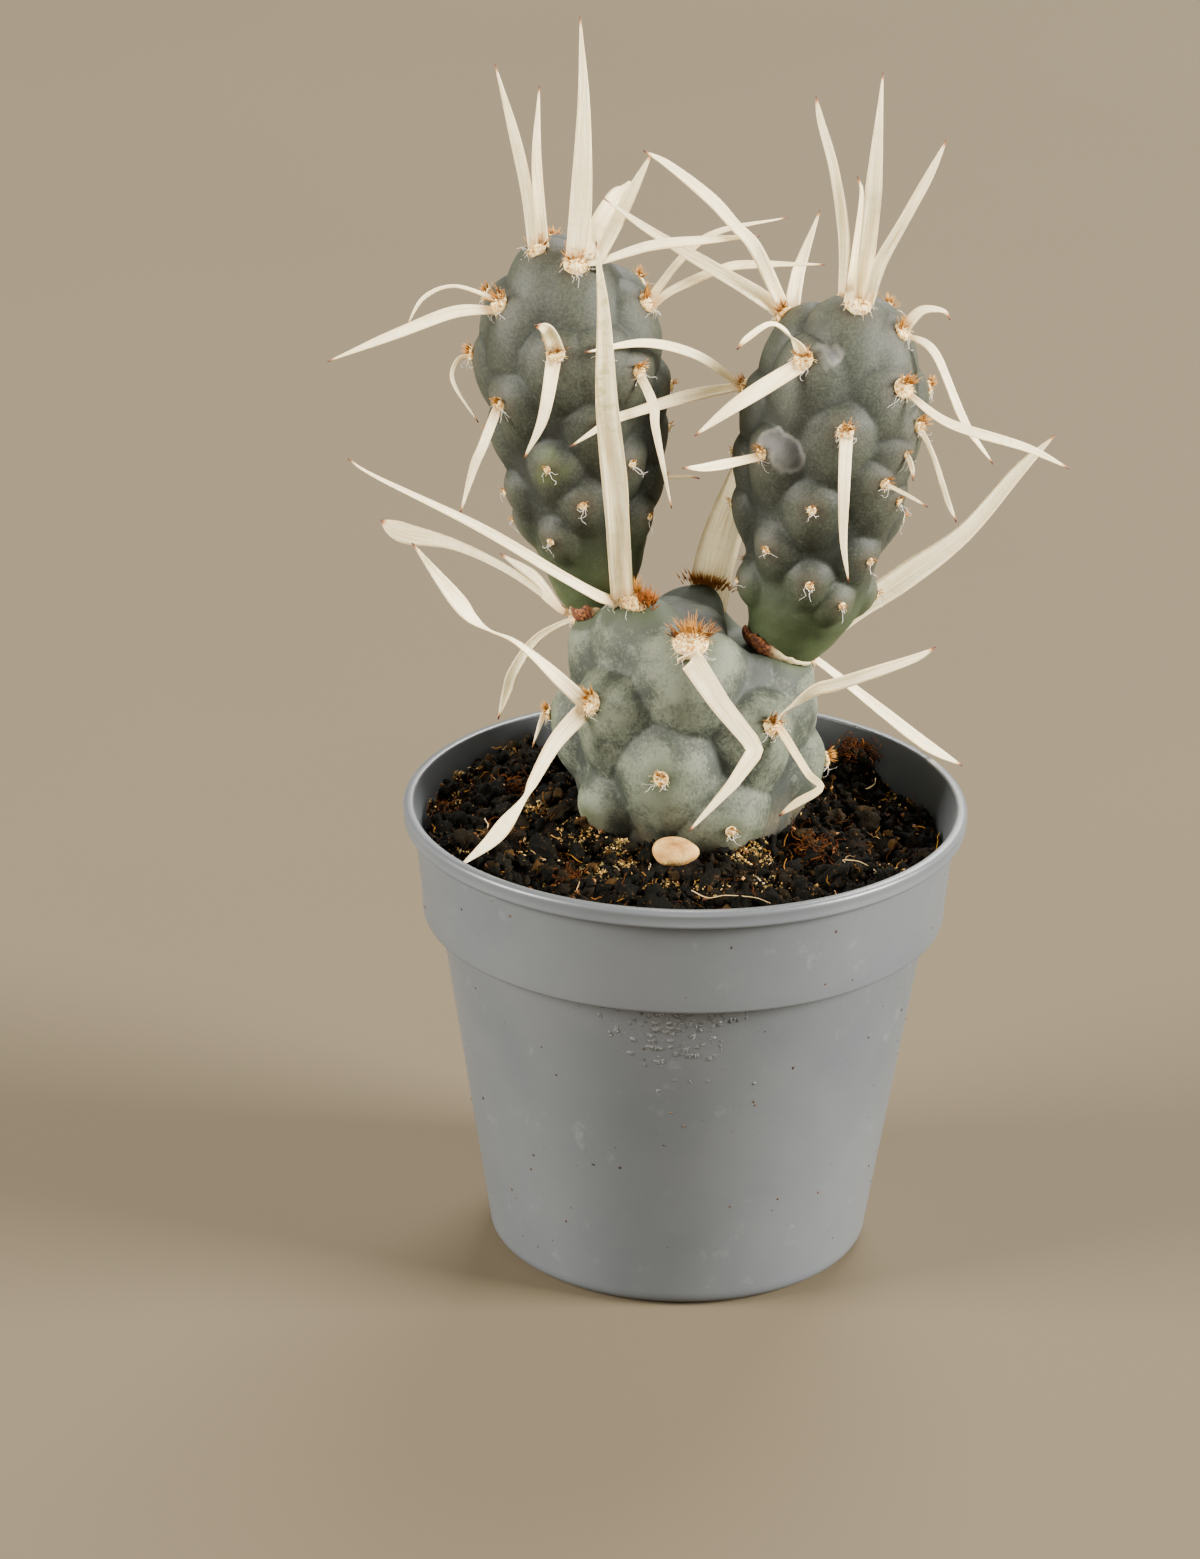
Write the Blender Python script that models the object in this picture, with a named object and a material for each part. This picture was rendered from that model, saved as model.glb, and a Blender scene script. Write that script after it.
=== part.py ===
"""A potted paper-spine cactus, the kind called pine cone cactus.

Three stem joints stand in peat in a small nursery pot: a squat base joint and
two taller ones that grow from its shoulders. Every joint carries tubercles, a
woolly areole on each tubercle, and flat papery spines.

Lengths are millimetres until a mesh is made. The origin is the middle of the
pot's underside, +Z is up and -Y is the front.
"""

import math
import random

import bmesh
import bpy
import numpy as np

MM = 0.001
GAP = 0.3

# Pot
POT_HEIGHT = 54.0
RIM_RADIUS = 32.5
LIP_DEPTH = 1.6
COLLAR_TOP_RADIUS = 31.2
COLLAR_FOOT_RADIUS = 30.2
COLLAR_FOOT_HEIGHT = 40.6
WALL_TOP_RADIUS = 28.2
BASE_RADIUS = 22.2
BASE_FILLET = 1.6
WALL = 1.0
FLOOR = 1.4
POT_SIDES = 48
DRAIN_HOLES = 6
DRAIN_HOLE_RADIUS = 2.4
DRAIN_CIRCLE_RADIUS = 14.0

# Soil
SOIL_LEVEL = 49.3
SOIL_FALL = 0.045
SOIL_RINGS = 6
SOIL_CLEARANCE = 0.35
SOIL_EDGE_DROP = 0.6
STEM_HOLE_CLEARANCE = 0.7
CLOD_HEIGHT = 0.55
SOIL_SEED = 7

# Pebble that lies against the front of the stem
PEBBLE_CENTRE = (-1.1, -9.3, 51.25)
PEBBLE_RADII = (2.85, 2.1, 1.5)

# Where each stem joint starts and ends
BASE_FOOT = (0.2, 8.8, 40.8)
BASE_CROWN = (0.2, 8.8, 76.7)
LEFT_FOOT = (-10.3, 11.5, 73.6)
LEFT_CROWN = (-15.4, 14.5, 117.6)
RIGHT_FOOT = (12.4, 9.0, 69.3)
RIGHT_CROWN = (18.4, 10.5, 112.3)

# Outlines of the joints: height along the axis, radius
BASE_OUTLINE = [
    (0, 12.4), (5, 13.2), (9.6, 13.4), (11.5, 13.5), (14.5, 13.7), (19, 13.8), (24, 13.3),
    (29, 11.8), (32.5, 9.4), (34.6, 6.2), (35.6, 3.0), (35.9, 0),
]
LEFT_OUTLINE = [
    (0, 3.5), (4, 5.7), (12.5, 7.8), (22.5, 9.3), (28, 10.1), (32, 9.8), (36.6, 8.1),
    (40.5, 5.5), (42.8, 2.6), (43.5, 0),
]
RIGHT_OUTLINE = [
    (0, 3.4), (2.7, 4.8), (6.2, 6.4), (12.5, 8.0), (18.7, 9.2), (24.5, 9.8), (31, 9.3),
    (36.5, 7.6), (40.3, 5.1), (42.2, 2.4), (42.8, 0),
]
SOIL_LINE_ON_STEM = 10.6

# Each neck leans across the front, as rise for each mm to the right, and sits off its axis
LEFT_NECK = {"slope": 0.17, "shift": 0.4}
RIGHT_NECK = {"slope": -0.28, "shift": -1.2}
NECK_FADE = 8.0

# Areoles: name, height along the axis, azimuth (0 faces front, 90 right), pad radius
BASE_AREOLES = [
    ("crown_left", 33.6, -64, 2.0),
    ("left_neck", 28.9, -99, 0.9),
    ("front_high", 32.4, -2, 2.3),
    ("front_left", 25.6, -48, 1.6),
    ("front_right", 23.6, 40, 1.4),
    ("front_low", 18.2, -11, 1.3),
    ("right_neck", 25.2, 97, 1.0),
    ("back_high", 32.6, 158, 2.4, 0.5),
    ("left_edge", 19.6, -92, 1.0),
    ("soil_left", 14.6, -48, 0.8),
    ("soil_right", 12.4, 20, 1.0),
]
LEFT_AREOLES = [
    ("crown_left", 42.0, -38, 1.4),
    ("crown", 41.0, 18, 1.8),
    ("high_left", 37.8, -62, 1.5),
    ("high_right", 36.1, 72, 1.5),
    ("front_high", 33.0, -7, 1.4),
    ("front_hidden", 32.3, 24, 1.0),
    ("left_high", 31.4, -92, 1.2),
    ("front_right", 29.2, 43, 1.3),
    ("front_left", 26.6, -52, 1.3),
    ("right_edge", 25.2, 88, 1.1),
    ("middle", 24.0, 16, 0.8),
    ("left_middle", 22.2, -92, 1.0),
    ("right_middle", 20.0, 86, 0.9),
    ("green_eye", 19.3, -23, 0.9),
    ("right_front", 18.2, 39, 1.0),
    ("left_low", 14.8, -80, 0.8),
    ("right_needle", 14.6, 84, 0.9),
    ("centre_low", 14.3, -1, 1.0),
    ("left_foot", 10.8, -88, 0.7),
    ("right_low", 11.0, 58, 0.8),
    ("front_foot", 10.0, -31, 0.9),
]
RIGHT_AREOLES = [
    ("crown", 41.6, 8, 1.9),
    ("high_right", 39.2, 62, 1.4),
    ("high_left", 38.4, -104, 1.6),
    ("front_high", 36.5, -35, 1.5),
    ("right_front", 34.4, 48, 1.6),
    ("right_edge", 30.1, 61, 1.3),
    ("left_edge", 30.1, -93, 1.4),
    ("centre", 29.9, 4, 1.4),
    ("peg", 27.0, 48, 0.7),
    ("front_left", 24.6, -47, 1.4),
    ("bristle", 23.9, 34, 1.2),
    ("left_dark", 22.6, -92, 0.8),
    ("right_small", 21.4, 56, 1.0),
    ("front_middle", 20.0, -9, 1.1),
    ("left_low", 15.8, -82, 1.0),
    ("right_low", 13.9, 45, 1.0),
    ("front_low_left", 13.8, -36, 1.0),
    ("front_low", 10.8, -1, 1.0),
    ("right_foot", 8.1, 28, 0.9),
    ("left_foot", 8.0, -80, 0.7),
]

# The unseen back is filled by the spiral that such tubercles follow
GOLDEN_ANGLE = 137.508
SPIRAL_STEP = 0.45
BACK_FROM = 92
BACK_SPACING = 6.4
BASE_BACK_SPACING = 10.5
BACK_PAD_RADIUS = 1.1
BACK_SPINE_LENGTH = (11.0, 19.0)
BACK_SPINE_WIDTH = (1.2, 1.9)
BACK_SPINES_FROM = math.radians(130)
BACK_SEED = 11

# Tubercles: half width, reach above and below the areole, rise, at the foot and the crown
SLENDER_TUBERCLE = ((3.3, 2.8, 4.4, 1.5), (4.6, 3.3, 7.0, 1.7))
SQUAT_TUBERCLE = ((5.6, 4.6, 5.8, 2.9), (5.6, 4.6, 6.0, 2.9))
SLENDER_BLEND = 0.1
SQUAT_BLEND = 0.35
TUBERCLE_FLOOR = -0.7

# The base joint's flesh keeps this far below the joints that stand on it
NECK_CLEARANCE = 1.25
RELIEF_ALLOWANCE = 1.3
NECK_REACH = 14.0
YIELD_STEP = 0.2

# Directions that the flat face of a spine looks in
FORE = (0, -1, 0)
ABOVE = (0, 0, 1)
RIGHT = (1, 0, 0)
FORE_UP = (0, -1, 0.8)
FORE_LEFT = (-0.7, -1, 0)
FORE_RIGHT = (0.7, -1, 0)

# Spines: areole, width, places along it from the areole (right, back, up), faces
BASE_SPINES = [
    ("crown_left", 3.1, [(-1.0, -4.6, 9.4), (-2.3, -7.2, 21.0), (-3.4, -8.2, 41.2)], [FORE]),
    ("crown_left", 1.6, [(-5.5, -4.0, 2.6), (-16.5, -5.0, 10.0), (-31.5, -6.5, 18.5)], [FORE_UP]),
    ("left_neck", 2.0, [(-7.8, 3.0, 3.4), (-13.5, 5.0, 6.2), (-24.0, 8.0, 8.7)], [FORE_UP, FORE]),
    ("left_neck", 1.2, [(-6.0, 2.0, -3.8), (-9.0, 4.0, -10.6), (-10.0, 4.0, -14.2)], [FORE]),
    ("left_neck", 1.2, [(-5.3, 3.0, 2.2), (-8.3, 5.0, 5.2)], [FORE]),
    ("front_left", 2.0, [(-5.7, -2.0, 5.7), (-13.0, -3.0, 10.4), (-20.2, -4.0, 20.1)],
     [FORE, ABOVE, FORE]),
    ("front_left", 2.1, [(-5.1, -5.0, -5.1), (-8.0, -8.6, -9.8), (-13.9, -11.8, -14.8)],
     [FORE, FORE_UP, FORE]),
    ("front_right", 2.0, [(2.2, -2.0, 3.9), (6.4, -3.0, 6.4), (17.1, -5.0, 11.7)],
     [RIGHT, FORE, FORE_UP]),
    ("front_right", 1.3, [(2.5, -3.5, -1.9), (5.2, -5.0, -5.0), (1.6, -5.8, -7.8)],
     [FORE_RIGHT, FORE]),
    ("right_neck", 2.9, [(6.2, 3.0, 4.2), (16.4, 5.0, 12.4), (28.0, 8.0, 24.6)], [FORE_UP, FORE]),
    ("right_neck", 1.4, [(5.4, 2.0, -4.2), (11.0, 4.0, -8.4), (17.6, 5.6, -13.2)], [FORE_UP]),
    ("back_high", 4.4, [(2.2, 4.6, 11.0), (4.4, 6.6, 20.8)], [FORE]),
    ("left_edge", 0.7, [(-1.5, -1.0, -1.0), (-1.9, -1.5, -4.1)], [FORE]),
]
# One spine is creased like a bent strip of paper, so its places aren't smoothed
BASE_CREASED = [
    ("front_high", 2.9, [(0.9, -2.2, -0.9), (3.9, -5.0, -5.0), (7.5, -7.6, -9.2), (4.3, -9.4, -13.8),
                         (0.2, -10.2, -18.2)], [FORE]),
]
LEFT_SPINES = [
    ("crown", 2.5, [(1.0, 0.0, 13.0), (0.5, 1.0, 27.4)], [FORE]),
    ("crown", 2.1, [(5.4, 2.0, 6.2), (8.6, 3.0, 12.1)], [FORE_LEFT]),
    ("crown", 2.5, [(3.6, 4.0, 4.4), (6.4, 6.0, 8.0)], [FORE]),
    ("crown", 1.1, [(6.9, -0.8, 1.9), (14.2, -0.4, 2.5), (21.0, 1.9, 1.8)], [FORE_UP]),
    ("crown_left", 1.4, [(-2.9, -1.0, 11.3), (-4.9, -1.0, 20.5)], [FORE]),
    ("crown_left", 1.3, [(-0.2, 1.0, 8.5), (-0.4, 2.0, 17.2)], [FORE]),
    ("high_left", 1.6, [(-4.7, -1.5, -0.2), (-10.9, -3.0, -2.4), (-18.9, -4.0, -6.0)], [FORE_UP]),
    ("high_left", 0.7, [(-3.1, 0.0, 1.5), (-6.5, 1.0, 1.5), (-10.3, 2.0, -3.4)], [FORE_UP]),
    ("front_high", 1.6, [(-1.0, -3.4, 3.9), (-2.2, -4.6, 4.6)], [FORE]),
    ("front_high", 1.8, [(-0.6, -4.0, -4.9), (-3.1, -5.0, -10.6)], [FORE]),
    ("high_right", 1.0, [(3.9, 2.0, 4.4), (7.2, 3.0, 7.1), (15.4, 4.0, 8.7)], [FORE_UP]),
    ("high_right", 1.1, [(6.1, 1.6, 2.8), (10.6, 2.4, 3.5), (19.7, 1.6, 3.3)], [FORE_UP]),
    ("front_right", 1.1, [(2.3, -3.5, -3.7), (3.1, -5.0, -12.3)], [FORE]),
    ("left_high", 0.9, [(-1.8, -1.0, -2.7), (1.2, -2.4, -7.5)], [FORE]),
    ("front_left", 1.4, [(-1.6, -4.0, -4.0), (-3.8, -5.0, -11.0)], [FORE]),
    ("right_needle", 0.7, [(2.7, -1.0, 0.5), (4.0, -1.4, 0.4)], [FORE]),
]
RIGHT_SPINES = [
    ("crown", 2.1, [(1.2, -2.0, 13.4), (1.8, -1.0, 25.1)], [FORE]),
    ("crown", 1.4, [(-2.9, -1.0, 13.1), (-5.2, 0.0, 22.8)], [FORE]),
    ("crown", 1.7, [(4.1, -3.0, 7.6), (8.7, -3.0, 18.6)], [FORE]),
    ("crown", 1.1, [(-0.3, 2.0, 7.6), (-0.8, 3.0, 13.1)], [FORE]),
    ("high_left", 1.8, [(-4.2, -4.3, 10.9), (-8.8, -5.4, 16.9), (-14.7, -6.4, 20.4)], [FORE_UP]),
    ("high_left", 1.6, [(-5.5, -1.2, 3.7), (-11.8, -2.5, 8.9), (-19.4, -4.0, 13.8)], [FORE_UP]),
    ("high_left", 1.7, [(3.0, 3.4, 4.0), (4.6, 4.0, 9.7)], [FORE]),
    ("front_high", 1.6, [(-2.6, -4.0, 4.8), (-5.1, -7.0, 5.5), (-7.6, -8.0, 3.5)], [ABOVE, FORE_UP]),
    ("front_high", 1.9, [(-6.0, -5.0, -2.5), (-12.0, -7.0, -6.4)], [FORE_UP]),
    ("high_right", 1.0, [(2.1, 0.0, 3.0), (4.8, -1.0, 2.4)], [FORE_UP]),
    ("high_right", 1.2, [(3.4, -1.0, -0.8), (6.2, -1.5, -5.1), (10.1, -2.0, -14.2)], [FORE_RIGHT]),
    ("right_front", 1.2, [(2.8, -2.5, -2.2), (6.2, -3.5, -3.4), (17.6, -6.0, -6.5)], [FORE_UP]),
    ("right_edge", 0.8, [(2.4, -1.0, -3.6), (4.5, -1.0, -10.9)], [FORE]),
    ("left_edge", 1.1, [(-6.9, -3.4, 5.6), (-14.1, -9.4, 7.4), (-16.7, -11.0, 7.0)], [FORE_UP]),
    ("left_edge", 1.7, [(-9.5, -5.8, -0.4), (-13.6, -9.4, -1.4), (-18.3, -11.2, -3.9)], [FORE_UP]),
    ("centre", 1.4, [(-0.2, -3.6, -6.2), (0.2, -4.0, -16.0)], [FORE]),
    ("front_left", 1.5, [(-4.2, -4.0, 0.0), (-8.8, -7.0, 1.0)], [FORE_UP]),
    ("bristle", 0.7, [(2.4, -2.0, -0.6), (4.8, -3.0, -1.7)], [FORE]),
    ("peg", 0.7, [(0.6, -1.0, -1.2), (0.8, -1.6, -2.6)], [FORE]),
]

# Colours
POT_COLOUR = (0.30, 0.31, 0.33)
SOIL_COLOUR = (0.035, 0.022, 0.014)
PEBBLE_COLOUR = (0.55, 0.40, 0.27)
BASE_SKIN_COLOUR = (0.30, 0.38, 0.30)
UPPER_SKIN_COLOUR = (0.13, 0.18, 0.15)

# Mesh detail
STEM_COLUMNS = 36
STEM_RINGS = 27
BASE_COLUMNS = 40
BASE_RINGS = 22
PAD_SIDES = 6
SMALL_PAD_SIDES = 4
SMALL_PAD_RADIUS = 0.95
BLADE_CUTS = 7
BLADE_THICKNESS = 0.7
BLADE_TIP_WIDTH = 0.5
ROOT_DEPTH = 1.4


def unit(vector):
    """The vector at length one; works on rows of vectors too."""
    vector = np.asarray(vector, float)
    return vector / np.linalg.norm(vector, axis=-1, keepdims=True)


def curve_through(points, per_span):
    """A smooth Catmull-Rom line through the given points."""
    points = np.array(points, float)
    first = 2 * points[0] - points[1]
    last = 2 * points[-1] - points[-2]
    ends = np.vstack([first, points, last])
    line = []
    for a, b, c, d in zip(ends, ends[1:], ends[2:], ends[3:]):
        for t in np.arange(per_span) / per_span:
            bend = 2 * a - 5 * b + 4 * c - d
            line.append(0.5 * (2 * b + (c - a) * t + bend * t**2 + (3 * b - a - 3 * c + d) * t**3))
    line.append(points[-1])
    return np.array(line)


def evenly(line, count):
    """The same line cut at evenly spaced places."""
    steps = np.linalg.norm(np.diff(line, axis=0), axis=1)
    run = np.concatenate([[0], np.cumsum(steps)])
    places = np.linspace(0, run[-1], count)
    columns = [np.interp(places, run, line[:, k]) for k in range(line.shape[1])]
    return np.stack(columns, axis=1)


def smooth_step(value):
    """0 below 0, 1 above 1, and an S curve between."""
    value = np.clip(value, 0, 1)
    return value * value * (3 - 2 * value)


class Stem:
    """One stem joint: an axis, a turned outline, and areoles on tubercles."""

    def __init__(self, foot, crown, outline, tubercle, blend, neck=None, bare_to=0):
        self.foot = np.array(foot, float)
        self.axis = unit(np.array(crown) - self.foot)
        self.front = unit(np.array(FORE) - self.axis * np.dot(FORE, self.axis))
        self.right = np.cross(self.axis, self.front)
        self.outline = evenly(curve_through(outline, 10), 240)
        self.slopes = unit(np.gradient(self.outline, axis=0))
        self.tubercle = tubercle
        self.blend = blend
        self.neck = neck or {"slope": 0, "shift": 0}
        self.bare_to = bare_to
        self.areoles = {}
        self.carried = []

    def share_at(self, height):
        """How far along the outline a height lies, from 0 to 1."""
        places = np.linspace(0, 1, len(self.outline))
        return np.interp(height, np.maximum.accumulate(self.outline[:, 0]), places)

    def core(self, share, azimuth):
        """Place, outward normal, upward tangent and rightward tangent without tubercles."""
        places = np.linspace(0, 1, len(self.outline))
        height, radius = (np.interp(share, places, self.outline[:, k])[..., None] for k in (0, 1))
        rise, spread = (np.interp(share, places, self.slopes[:, k])[..., None] for k in (0, 1))
        cosine = np.cos(azimuth)[..., None]
        sine = np.sin(azimuth)[..., None]
        out = cosine * self.front + sine * self.right
        across = cosine * self.right - sine * self.front
        place = self.foot + self.axis * height + out * np.maximum(radius, 0)
        slope, shift = self.neck_at(height)
        place = place + self.axis * slope * radius * sine + self.right * shift
        normal = out * rise - self.axis * spread
        up = self.axis * rise + out * spread
        return place, normal, up, across

    def neck_at(self, height):
        """The neck's slope and sideways shift, which fade out above it."""
        fade = np.clip(1 - height / NECK_FADE, 0, 1)
        return self.neck["slope"] * fade, self.neck["shift"] * fade**2

    def add_areole(self, name, height, azimuth, pad, swell=1.0):
        """Put an areole on the skin, with a tubercle under it."""
        share = float(self.share_at(height))
        low, high = (np.array(values) for values in self.tubercle)
        place, normal, up, across = self.core(np.array(share), np.array(math.radians(azimuth)))
        self.areoles[name] = {
            "core": place, "normal": normal, "up": up, "across": across, "pad": pad,
            "form": (low + (high - low) * share) * (1, 1, 1, swell),
            "share": share, "azimuth": math.radians(azimuth),
        }

    def relief(self, place, height):
        """How far the tubercles raise the skin over its core at each place."""
        total = np.exp(np.full(len(place), TUBERCLE_FLOOR / self.blend))
        for areole in self.areoles.values():
            half, above, below, rise = areole["form"]
            away = place - areole["core"]
            u = away @ areole["across"] / half
            v = away @ areole["up"]
            v = np.where(v > 0, v / above, v / below)
            w = away @ areole["normal"] / half
            dome = rise * (1 - u * u - v * v - w * w)
            total += np.exp(np.maximum(dome, -4) / self.blend)
        raised = self.blend * np.log(total)
        return raised * smooth_step((height - self.bare_to) / 3.5)

    def reaches(self, place):
        """Which places lie within the clearance round the lower part of this joint."""
        away = place - self.foot
        height = away @ self.axis
        slope, shift = self.neck_at(np.maximum(height, 0))
        out = away - height[:, None] * self.axis - shift[:, None] * self.right
        radius = np.linalg.norm(out, axis=1)
        height = height - slope * (out @ self.right)
        above = np.maximum(height, 0)
        skin = np.interp(above, self.outline[:, 0], self.outline[:, 1])
        near = radius < skin + NECK_CLEARANCE + RELIEF_ALLOWANCE * smooth_step(above / 5)
        return near & (height > -NECK_CLEARANCE) & (height < NECK_REACH)

    def skin(self, share, azimuth):
        """Places on the finished skin and their normals, for rows of shares and azimuths."""
        place, normal, _, _ = self.core(share, azimuth)
        height = (place - self.foot) @ self.axis
        place = place + normal * self.relief(place, height)[:, None]
        for other in self.carried:
            inside = other.reaches(place)
            while inside.any():
                place[inside] -= normal[inside] * YIELD_STEP
                inside = other.reaches(place)
        return place, normal

    def seat(self, name):
        """The skin under an areole, and the direction straight out of it."""
        areole = self.areoles[name]
        place, normal = self.skin(np.array([areole["share"]]), np.array([areole["azimuth"]]))
        return place[0], normal[0]


def fill_the_back(stem, spacing):
    """Add areoles on the side away from the front, along a golden-angle spiral."""
    names = []
    length = stem.outline[-1, 0]
    height = max(stem.bare_to + 3, 7)
    turn = 0
    while height < length - 1.5:
        turn += 1
        height += SPIRAL_STEP
        azimuth = (turn * GOLDEN_ANGLE) % 360 - 180
        if abs(azimuth) < BACK_FROM:
            continue
        share = np.array(stem.share_at(height))
        place = stem.core(share, np.array(math.radians(azimuth)))[0]
        near = min(np.linalg.norm(place - other["core"]) for other in stem.areoles.values())
        if near > spacing:
            names.append(f"back_{turn}")
            stem.add_areole(names[-1], height, azimuth, BACK_PAD_RADIUS)
    return names


def back_spines(stem, names, draw):
    """One spine on every second areole of the unseen back, leaning out and up."""
    rows = []
    for name in names[::2]:
        areole = stem.areoles[name]
        if areole["share"] < 0.45 or abs(areole["azimuth"]) < BACK_SPINES_FROM:
            continue
        out = areole["normal"]
        length = draw.uniform(*BACK_SPINE_LENGTH)
        rise = draw.uniform(-0.7, 0.9)
        drift = draw.uniform(-0.3, 0.3)
        way = unit(out + areole["across"] * drift + stem.axis * rise)
        middle = unit(out + way) * length * 0.45
        tip = way * length - stem.axis * length * 0.12
        face = tuple(unit(np.cross(way, np.cross(stem.axis, way))))
        rows.append((name, draw.uniform(*BACK_SPINE_WIDTH), [tuple(middle), tuple(tip)], [face]))
    return rows


def closed_object(name, vertices, faces, material):
    """A mesh object in metres, triangulated, from vertices in millimetres."""
    mesh = bpy.data.meshes.new(name)
    mesh.from_pydata([tuple(v * MM for v in vertex) for vertex in vertices], [], faces)
    body = bmesh.new()
    body.from_mesh(mesh)
    bmesh.ops.triangulate(body, faces=body.faces[:])
    bmesh.ops.recalc_face_normals(body, faces=body.faces[:])
    body.to_mesh(mesh)
    body.free()
    mesh.materials.append(material)
    thing = bpy.data.objects.new(name, mesh)
    bpy.context.scene.collection.objects.link(thing)
    return thing


def tube_faces(rings, sides, close_start=True, close_end=True):
    """Faces of a tube whose rings of vertices follow each other."""
    faces = []
    for ring in range(rings - 1):
        for side in range(sides):
            a = ring * sides + side
            b = ring * sides + (side + 1) % sides
            faces.append((a, b, b + sides, a + sides))
    if close_start:
        faces.append(tuple(reversed(range(sides))))
    if close_end:
        faces.append(tuple(range((rings - 1) * sides, rings * sides)))
    return faces


def stem_object(name, stem, rings, columns, material):
    """The body of a stem joint: rings from the flat foot to one vertex on the crown."""
    azimuths = np.arange(columns) * 2 * math.pi / columns
    vertices = []
    for share in np.linspace(0, 1, rings + 1)[:-1]:
        ring, _ = stem.skin(np.full(columns, share), azimuths)
        vertices.extend(ring)
    crown, _ = stem.skin(np.array([1.0]), np.array([0.0]))
    vertices.extend(crown)
    faces = tube_faces(rings, columns, close_end=False)
    last = (rings - 1) * columns
    for side in range(columns):
        faces.append((last + side, last + (side + 1) % columns, len(vertices) - 1))
    return closed_object(name, vertices, faces, material)


def pad_object(name, stem, areole_name, material):
    """The woolly pad of an areole, its root sunk into the tubercle."""
    place, normal = stem.seat(areole_name)
    areole = stem.areoles[areole_name]
    radius = areole["pad"]
    sides = PAD_SIDES if radius > SMALL_PAD_RADIUS else SMALL_PAD_SIDES
    height = 0.35 + 0.25 * radius
    vertices = []
    for depth, width in ((-ROOT_DEPTH, 0.8 * radius), (height, radius)):
        for side in range(sides):
            angle = (side + 0.5) * 2 * math.pi / sides
            around = areole["across"] * math.cos(angle) + areole["up"] * math.sin(angle)
            vertices.append(place + normal * depth + around * width)
    return closed_object(name, vertices, tube_faces(2, sides), material)


def blade_object(name, path, width, faces_along, material, smooth=True):
    """A flat papery spine along a path, widest in its lower half, narrow at both ends."""
    line = evenly(curve_through(path, 12), BLADE_CUTS) if smooth else np.array(path, float)
    tangents = unit(np.gradient(line, axis=0))
    looks = np.array([unit(face) for face in faces_along])
    share = np.linspace(0, 1, len(line))
    stops = np.linspace(0, 1, len(looks)) if len(looks) > 1 else np.array([0.0])
    look = np.stack([np.interp(share, stops, looks[:, k]) for k in range(3)], axis=1)
    across = unit(np.cross(tangents, look))
    face = np.cross(across, tangents)
    full = 0.6 + 0.4 * smooth_step(share / 0.25) + 0.15 * share
    half = width / 2 * full * (1 - share**2.4)
    half = np.maximum(half, BLADE_TIP_WIDTH / 2)
    vertices = []
    for k in range(len(line)):
        for u, v in ((-1, -1), (1, -1), (1, 1), (-1, 1)):
            vertices.append(line[k] + across[k] * half[k] * u + face[k] * BLADE_THICKNESS / 2 * v)
    sides = []
    for k in range(len(line) - 1):
        a, b, c, d = range(4 * k, 4 * k + 4)
        e, f, g, h = range(4 * k + 4, 4 * k + 8)
        sides += [(a, b, f), (a, f, e), (c, d, g), (d, h, g)]
        sides += [(b, c, g, f), (d, a, e, h)]
    sides += [(3, 2, 1, 0), tuple(range(len(vertices) - 4, len(vertices)))]
    return closed_object(name, vertices, sides, material)


def spine_objects(name, stem, rows, material, smooth=True):
    """Papery spines of a stem joint, each rooted in its areole."""
    made = []
    for number, (areole, width, places, looks) in enumerate(rows):
        place, normal = stem.seat(areole)
        path = [place - normal * ROOT_DEPTH]
        path += [place + np.array(offset) for offset in places]
        made.append(blade_object(f"{name}_{number}", path, width, looks, material, smooth))
    return made


def neck_stub(name, stem, material):
    """The short neck on the base joint that an upper joint grows from."""
    across = unit(stem.right + stem.neck["slope"] * stem.axis)
    back = -stem.front
    way = np.cross(across, back)
    wide = stem.outline[0, 1]
    top = stem.foot + stem.right * stem.neck["shift"] - way * GAP
    vertices = []
    for depth, radius in ((-5.0, wide - 1.0), (-1.4, wide + 0.1), (0, wide)):
        for side in range(16):
            angle = side * 2 * math.pi / 16
            around = across * math.cos(angle) + back * math.sin(angle)
            vertices.append(top + way * depth + around * radius)
    return closed_object(name, vertices, tube_faces(3, 16), material)


def join_repeats(body, repeats):
    """Fuse the repeats into the body with one union on their collection."""
    group = bpy.data.collections.new(body.name + "_repeats")
    bpy.context.scene.collection.children.link(group)
    for thing in repeats:
        bpy.context.scene.collection.objects.unlink(thing)
        group.objects.link(thing)
    union = body.modifiers.new("join_repeats", "BOOLEAN")
    union.operation = "UNION"
    union.operand_type = "COLLECTION"
    union.collection = group
    union.solver = "EXACT"
    bpy.context.view_layer.update()
    seen = body.evaluated_get(bpy.context.evaluated_depsgraph_get())
    joined = bpy.data.meshes.new_from_object(seen)
    body.modifiers.remove(union)
    old = body.data
    body.data = joined
    joined.name = body.name
    bpy.data.meshes.remove(old)
    for thing in repeats:
        mesh = thing.data
        bpy.data.objects.remove(thing)
        bpy.data.meshes.remove(mesh)
    bpy.data.collections.remove(group)


def shade(thing, angle):
    """Smooth shading with edges kept sharp past the angle in degrees."""
    thing.data.shade_smooth()
    thing.data.set_sharp_from_angle(angle=math.radians(angle))


def material(name, colour, roughness):
    """A plain Principled material."""
    made = bpy.data.materials.new(name)
    made.use_nodes = True
    shader = made.node_tree.nodes["Principled BSDF"]
    shader.inputs["Base Color"].default_value = (*colour, 1)
    shader.inputs["Roughness"].default_value = roughness
    shader.inputs["Metallic"].default_value = 0
    return made


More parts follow.
